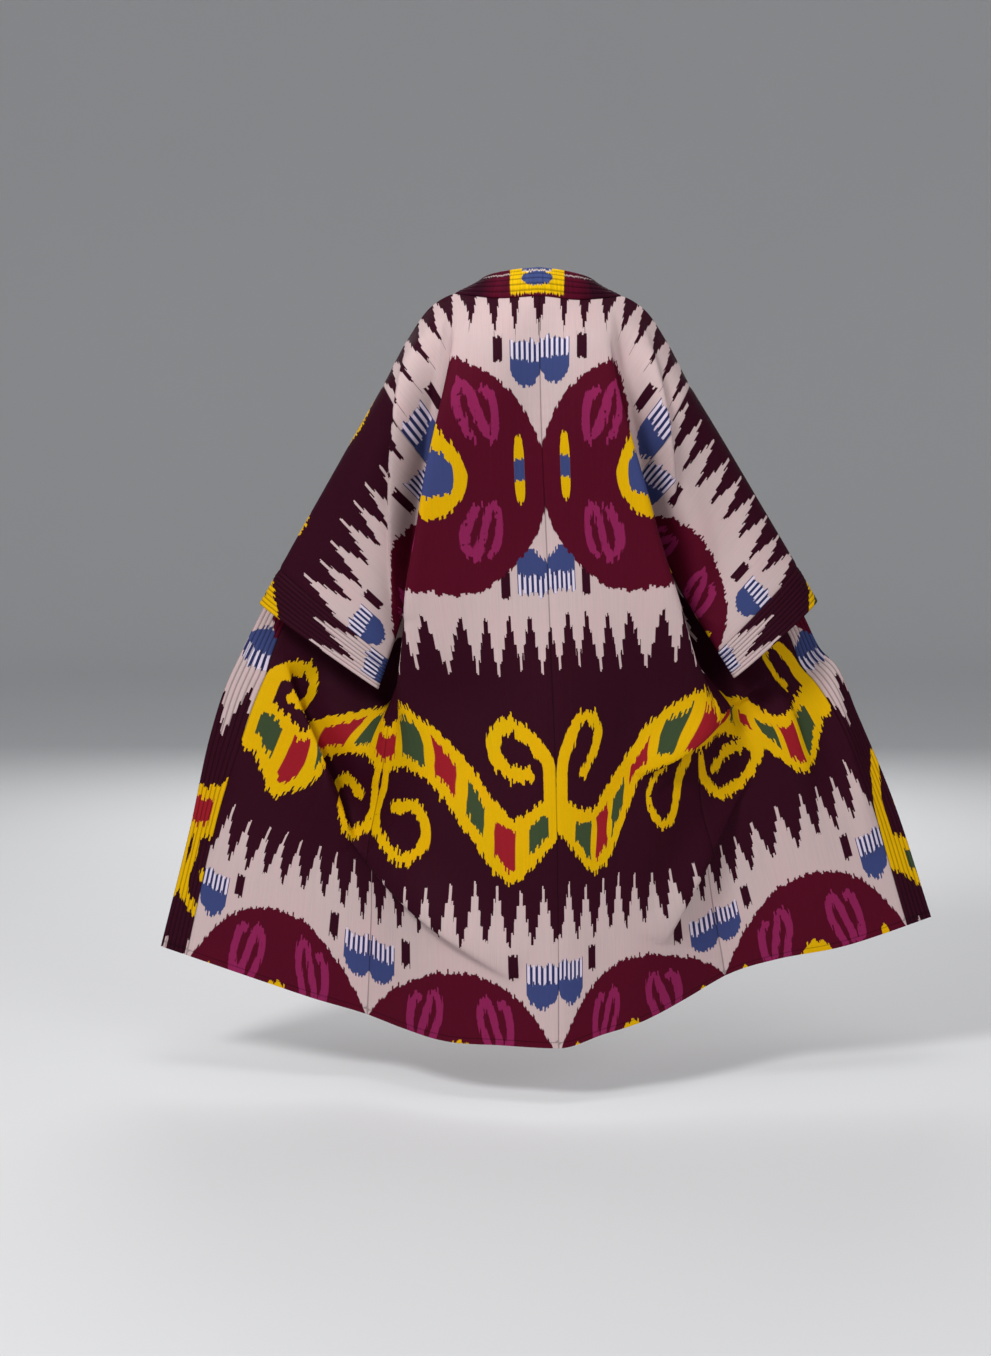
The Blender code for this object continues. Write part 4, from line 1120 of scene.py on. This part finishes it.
def collarMaterial(name, faded):
    # the collar is cut over the warp: a yellow block with a blue oval at the nape, pale
    # streaks above it, wine to both sides with a thin pale feathered line
    material, tree = newMaterial(name)
    x, y = clothPlace(tree)
    edge, bundle = weave["edge"], 1 / weave["bundle"]
    moved = noise(x * bundle, y * 9.0) * 0.011 + y
    fromMiddle = abs(x - nape["middle"])
    size = nape["block"]
    block = gate(moved * size["widens"] + size["half"] - fromMiddle, edge)
    block = block * gate(moved - size["bottom"], edge)
    size = nape["core"]
    core = gate(oval(fromMiddle, moved - size["level"], *size["half"], 2.0), 0.12)
    size = nape["cap"]
    cap = gate(size["half"] - fromMiddle, edge) * gate(moved - size["bottom"], edge)
    size = nape["streak"]
    pale = gate(size["half"] - fromMiddle, 0.004)
    pale = pale * inside(moved - size["level"], size["thick"], 0.002)
    size = nape["line"]
    level = fromMiddle * size["climb"] + size["level"]
    line = inside(moved - level, size["thick"], 0.0016)
    line = line * gate(size["end"] - fromMiddle, 0.02)
    colour = layer(dye("wine"), dye("plum"), gate(fromMiddle - nape["plumFrom"], 0.03))
    for name, mask in (
        ("white", line * 0.75),
        ("yellow", block),
        ("blue", core.maths("MAXIMUM", cap)),
        ("bright", pale * 0.8),
    ):
        colour = layer(colour, dye(name), mask)
    thread = noise(x * weave["threads"], y * 30.0, 1.0)
    tone = thread * 0.3 + noise(x * bundle, y * 30.0) * 0.7 + 1.0
    return clothShader(material, scaled(colour, tone), thread, faded)


group = ikatGroup()
dressed = [
    clothMaterial("ikat_cloth", group, 0.0),
    clothMaterial("ikat_reverse", group, finish["reverse"], 0.9),
]
collarDressed = [
    collarMaterial("collar_cloth", 0.0),
    collarMaterial("collar_reverse", finish["reverse"]),
]
print("stage: materials made")

# where the pattern lies: its lift on the bodies, the level of its tips at the armhole and
# their slope along the sleeve, the cuffs' and bands' starts, and the river's moves. A row
# of frontLift has the way down the front and the lift there, in millimetres.
laying = {
    "bodyLift": {"left": 0.0, "right": 0.007},
    "sleeve": {"left": (0.110, -0.19), "right": (0.055, -0.23)},
    "sleeveRiver": -0.055,
    "cuff": {"left": 0.105, "right": 0.116},
    "cuffRiver": -0.055,
    "band": {"left": (0.283, 0.235), "right": (0.0, 0.255)},
    "frontLift": {
        "left": ((0, 0), (600, 20), (850, 34), (1000, 6), (1130, 20), (1250, 4)),
        "right": ((0, 0), (600, 30), (850, 44), (1000, 26), (1130, 22), (1250, 10)),
    },
    "frontLiftStart": 0.16,
    "blunt": (0.14, 0.22),
    "hemLine": 0.009,
    "bandRows": 6,
    "collarRows": 6,
    "cuffRows": 9,
}


def toLine(points, line):
    # distance of each point to the nearest stretch of a line of points
    best = np.full(points.shape[:-1], np.inf)
    for a, b in zip(line, line[1:]):
        way = b - a
        share = np.clip(((points - a) @ way) / (way @ way), 0.0, 1.0)
        best = np.minimum(best, np.linalg.norm(points - a - share[..., None] * way, axis=-1))
    return best


def rowLines(across, width, rows):
    # rows of stitching: distance to the nearest row, and arches of cloth between them
    pitch = width / rows
    apart = np.abs((across / pitch + 0.5) % 1 - 0.5) * pitch
    return apart, relief["rowRise"] * np.sin(np.pi * apart / pitch) ** 0.7


# the grids of the form by name and side, each with its points, its cloth coordinates, the
# distance to its nearest seam and the run along it
grids = {}


def addGrid(name, side, points, flip, u, v, seam, run):
    # keeps a grid with what lies on it
    grid = {"points": points, "flip": flip, "u": u, "v": v, "seam": seam, "run": run}
    grids[name, side] = grid


def halfRobe(side):
    # back, front and sleeve of one side, folded, with their shared edges alike
    back, backU, backV = backGrid(side)
    front, frontU, frontV = frontGrid(side, back)
    sleeve, sleeveU, sleeveV = sleeveGrid(side)
    gathered(side, back, front)
    fade = ramp(levels, 0.0, drape["shoulderEase"])[:, None, None]
    back += fade * foldShift(back, side, ("sleeve", "skirt"))[0]
    front += fade * foldShift(front, side, ("skirt",))[0]
    shift, taken = foldShift(sleeve, side, ("sleeve",))
    sleeve += ramp(sleeveV, 0.0, drape["shoulderEase"])[..., None] * shift
    sewn(back, front, sleeve)
    neckSeam = toLine(back, back[0, : mesh["neck"] + 1])
    bandSeam = np.abs((cut["strip"] - neckline(levels))[:, None] - frontU)
    underarm = cut["armhole"] - np.abs(sleeveV)
    cuffSeam = np.abs(sleeveU - cut["sleeve"])
    backSeam = np.minimum(np.minimum(backU, cut["strip"] - backU), neckSeam)
    addGrid("back", side, back, side == "right", backU, backV, backSeam, backV)
    frontSeam = np.minimum(frontU, bandSeam)
    addGrid("front", side, front, side == "right", frontU, frontV, frontSeam, frontV)
    sleeveSeam = np.minimum(np.minimum(underarm, cuffSeam), sleeveU)
    run = np.where(underarm < sleeveU, sleeveU, sleeveV)
    addGrid("sleeve", side, sleeve, side == "left", sleeveU, sleeveV, sleeveSeam, run)
    grids["sleeve", side]["taken"] = taken * (sleeveV > 0)


for side in sides:
    halfRobe(side)
collar = collarGrid()
rise = np.linspace(0.0, cut["band"], mesh["band"] + 1)[:, None]
around = runAlong(np.linalg.norm(np.diff(collar[0], axis=0), axis=1))
around = np.broadcast_to(around - around[-1] / 2, collar.shape[:2])
rise = rise + 0 * around
addGrid("collar", "", collar, True, around, rise, rise, around)
print("stage: cloth laid on the form")

setNormals()
for grid in grids.values():
    lift = swell(grid["points"]) + seamRelief(grid["seam"], grid["run"])
    grid["points"] = grid["points"] + grid["normals"] * lift[..., None]
for side in sides:
    sewn(*[grids[name, side]["points"] for name in ("back", "front", "sleeve")])
collar = grids["collar", ""]["points"]
for side, part, end in (
    ("right", np.s_[0, mesh["neck"] :: -1], np.s_[:, 0]),
    ("left", np.s_[0, mesh["neck"] :], np.s_[:, -1]),
):
    collar[part] = grids["back", side]["points"][0, : mesh["neck"] + 1]
    collar[end] = grids["front", side]["points"][0, panel:]
setNormals()
print("stage: relief and seams raised")


def madePiece(kind, side, part, laid, rise, seam, blunt=0.0, materials=dressed):
    name, rows, columns = part
    grid = grids[name, side]
    points, normals = grid["points"][rows, columns], grid["normals"][rows, columns]
    fields = laid[1] | {"seam": seam, "blunt": blunt}
    node = "_".join(word for word in (kind, side) if word)
    made = shell(node + "_cloth", points, normals, grid["flip"], rise, laid[0], fields, materials)
    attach(made, "root")
    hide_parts(node)


def pattern(side, u, v, drop=0.0, lift=0.0, front=False):
    # cloth coordinates and the fields of the drawn lines there
    fields = ikatFields(side, u, v, drop, front)
    fields["riverCentre"] = fields["riverCentre"] + lift
    return np.stack([u, v + lift], -1), fields


# the parts of the grids that each piece takes, and the pieces of each side, then the collar
whole = slice(None)
strip, edge = slice(0, panel + 1), slice(panel, None)
top, end = slice(0, mesh["sleeve"] + 1), slice(mesh["sleeve"], None)
for side in sides:
    lift = laying["bodyLift"][side]
    of = grids["back", side]
    hem = np.abs(cut["length"] - laying["hemLine"] - of["v"])
    seam = np.minimum(of["seam"], hem)
    # the teeth are blunt from the shoulder line down to the first disc
    blunt = 1 - ramp(of["v"], *laying["blunt"])
    laid = pattern(side, of["u"], of["v"], lift=lift)
    madePiece("back", side, ("back", whole, whole), laid, 0.0, seam, blunt=blunt)

    of = grids["front", side]
    hem = np.abs(cut["length"] - laying["hemLine"] - of["v"])
    seam = np.minimum(of["seam"], hem)[:, strip]
    u, v = of["u"][:, strip], of["v"][:, strip]
    blunt = 1 - ramp(v, *laying["blunt"])
    raised = along(laying["frontLift"][side], v)[..., 0] * ramp(u, 0.0, laying["frontLiftStart"])
    laid = pattern(side, cut["strip"] - u, v + raised, lift=lift, front=True)
    madePiece("front", side, ("front", whole, strip), laid, 0.0, seam, blunt)

    u, v = of["u"][:, edge] - of["u"][:, [panel]], of["v"][:, edge]
    rows, arch = rowLines(u, cut["band"], laying["bandRows"])
    start, back = laying["band"][side]
    laid = pattern(side, start + u, v - back)
    madePiece("band", side, ("front", whole, edge), laid, arch, np.minimum(rows, hem[:, edge]))

    of = grids["sleeve", side]
    tip, slope = laying["sleeve"][side]
    v = of["v"] - (tip + slope * of["u"] - of["taken"])
    laid = pattern(side, cut["sleeve"] - of["u"][top], v[top], laying["sleeveRiver"])
    madePiece("sleeve", side, ("sleeve", top, whole), laid, 0.0, of["seam"][top])

    u, v = of["u"][end] - cut["sleeve"], of["v"][end] - laying["cuff"][side]
    rows, arch = rowLines(u, cut["cuff"], laying["cuffRows"])
    laid = pattern(side, u, v, laying["cuffRiver"])
    madePiece("cuff", side, ("sleeve", end, whole), laid, arch, rows)
of = grids["collar", ""]
rows, arch = rowLines(of["v"], cut["band"], laying["collarRows"])
laid = np.stack([of["u"], of["v"]], -1), {}
madePiece("collar", "", ("collar", whole, whole), laid, arch, rows, materials=collarDressed)
print("stage: eleven pieces of cloth made")

# the floor, the lights and the camera
studio = {
    "floor": -1.32,
    "floorHalf": 7.0,
    "sweepRound": 3.0,
    "wallHeight": 5.0,
    "floorTone": (0.66, 0.66, 0.67, 1.0),
    "floorDarker": 0.97,
    "world": (0.90, 0.92, 0.95, 1.0),
    "worldStrength": 0.35,
    "aim": (0.03, 0.0, -0.55),
    "lights": (
        ("key", (2.0, 2.8, 2.1), 1.1, 114.0),
        ("fill", (-2.0, 3.4, 0.6), 2.2, 40.0),
        ("top", (0.0, 0.4, 2.6), 1.6, 30.0),
        ("frontSide", (0.0, -3.2, 0.9), 2.6, 60.0),
    ),
    "cameraAt": (0.0685, 3.6, -0.30),
    "tilt": 84.29,
    "lens": 59.2,
}


def floorMaterial():
    # a matt pale floor, its tone a little uneven
    material, tree = newMaterial("floor_pale")
    shader = tree.nodes["Principled BSDF"]
    place = make(tree, "ShaderNodeTexCoord", output="Object")
    inputs = {"Vector": place, "Scale": 1.3, "Detail": 3.0}
    cloud = make(tree, "ShaderNodeTexNoise", inputs)
    tone = studio["floorTone"]
    darker = tuple(studio["floorDarker"] * light for light in tone[:3]) + (1.0,)
    tree.links.new(layer(tone, darker, cloud).socket, shader.inputs["Base Color"])
    shader.inputs["Roughness"].default_value = 0.8
    return material


def studioFloor():
    # a round floor that turns up in a quarter circle into a wall all round
    angle = np.linspace(0.0, np.pi / 2, 17)
    wide, sweep, top = studio["floorHalf"], studio["sweepRound"], studio["wallHeight"]
    out = np.concatenate([np.linspace(0.5, wide, 9), wide + sweep * np.sin(angle[1:])])
    up = np.concatenate([np.zeros(9), sweep * (1 - np.cos(angle[1:]))])
    out, up = np.append(out, out[-1]), np.append(up, top) + studio["floor"]
    turn = np.linspace(0.0, 2 * np.pi, 96, endpoint=False)
    ring = np.stack([np.cos(turn), np.sin(turn)], -1)
    walls = [np.column_stack([ring * r, np.full(len(ring), z)]) for r, z in zip(out, up)]
    points = np.concatenate([[(0.0, 0.0, studio["floor"])]] + walls)
    near = np.arange(len(ring))
    far = np.roll(near, -1)
    faces = [(0, a + 1, b + 1) for a, b in zip(near.tolist(), far.tolist())]
    for k in range(len(out) - 1):
        inner, outer = 1 + k * len(ring), 1 + (k + 1) * len(ring)
        faces += np.stack([near + inner, near + outer, far + outer, far + inner], -1).tolist()
    data = bpy.data.meshes.new("floor")
    data.from_pydata(points.tolist(), [], faces)
    data.shade_smooth()
    data.materials.append(floorMaterial())
    linked("floor", data)


def studioSet():
    # the lights aimed at the robe, an even pale world and the camera
    scene = bpy.context.scene
    for name, place, size, power in studio["lights"]:
        lamp = bpy.data.lights.new(name, "AREA")
        lamp.shape = "DISK"
        lamp.size = size
        lamp.energy = power
        light = linked(name, lamp)
        light.location = place
        heading = Vector(studio["aim"]) - light.location
        light.rotation_euler = heading.to_track_quat("-Z", "Y").to_euler()
    world = bpy.data.worlds.new("studio")
    world.use_nodes = True
    sky = world.node_tree.nodes["Background"]
    sky.inputs["Color"].default_value = studio["world"]
    sky.inputs["Strength"].default_value = studio["worldStrength"]
    scene.world = world
    scene.view_settings.view_transform = "Standard"
    lens = bpy.data.cameras.new("camera")
    lens.sensor_fit = "VERTICAL"
    lens.sensor_height = 36.0
    lens.lens = studio["lens"]
    camera = linked("camera", lens)
    camera.location = studio["cameraAt"]
    camera.rotation_euler = (np.radians(studio["tilt"]), 0.0, np.pi)
    scene.camera = camera


studioFloor()
studioSet()
print("stage: floor, lights and camera set")
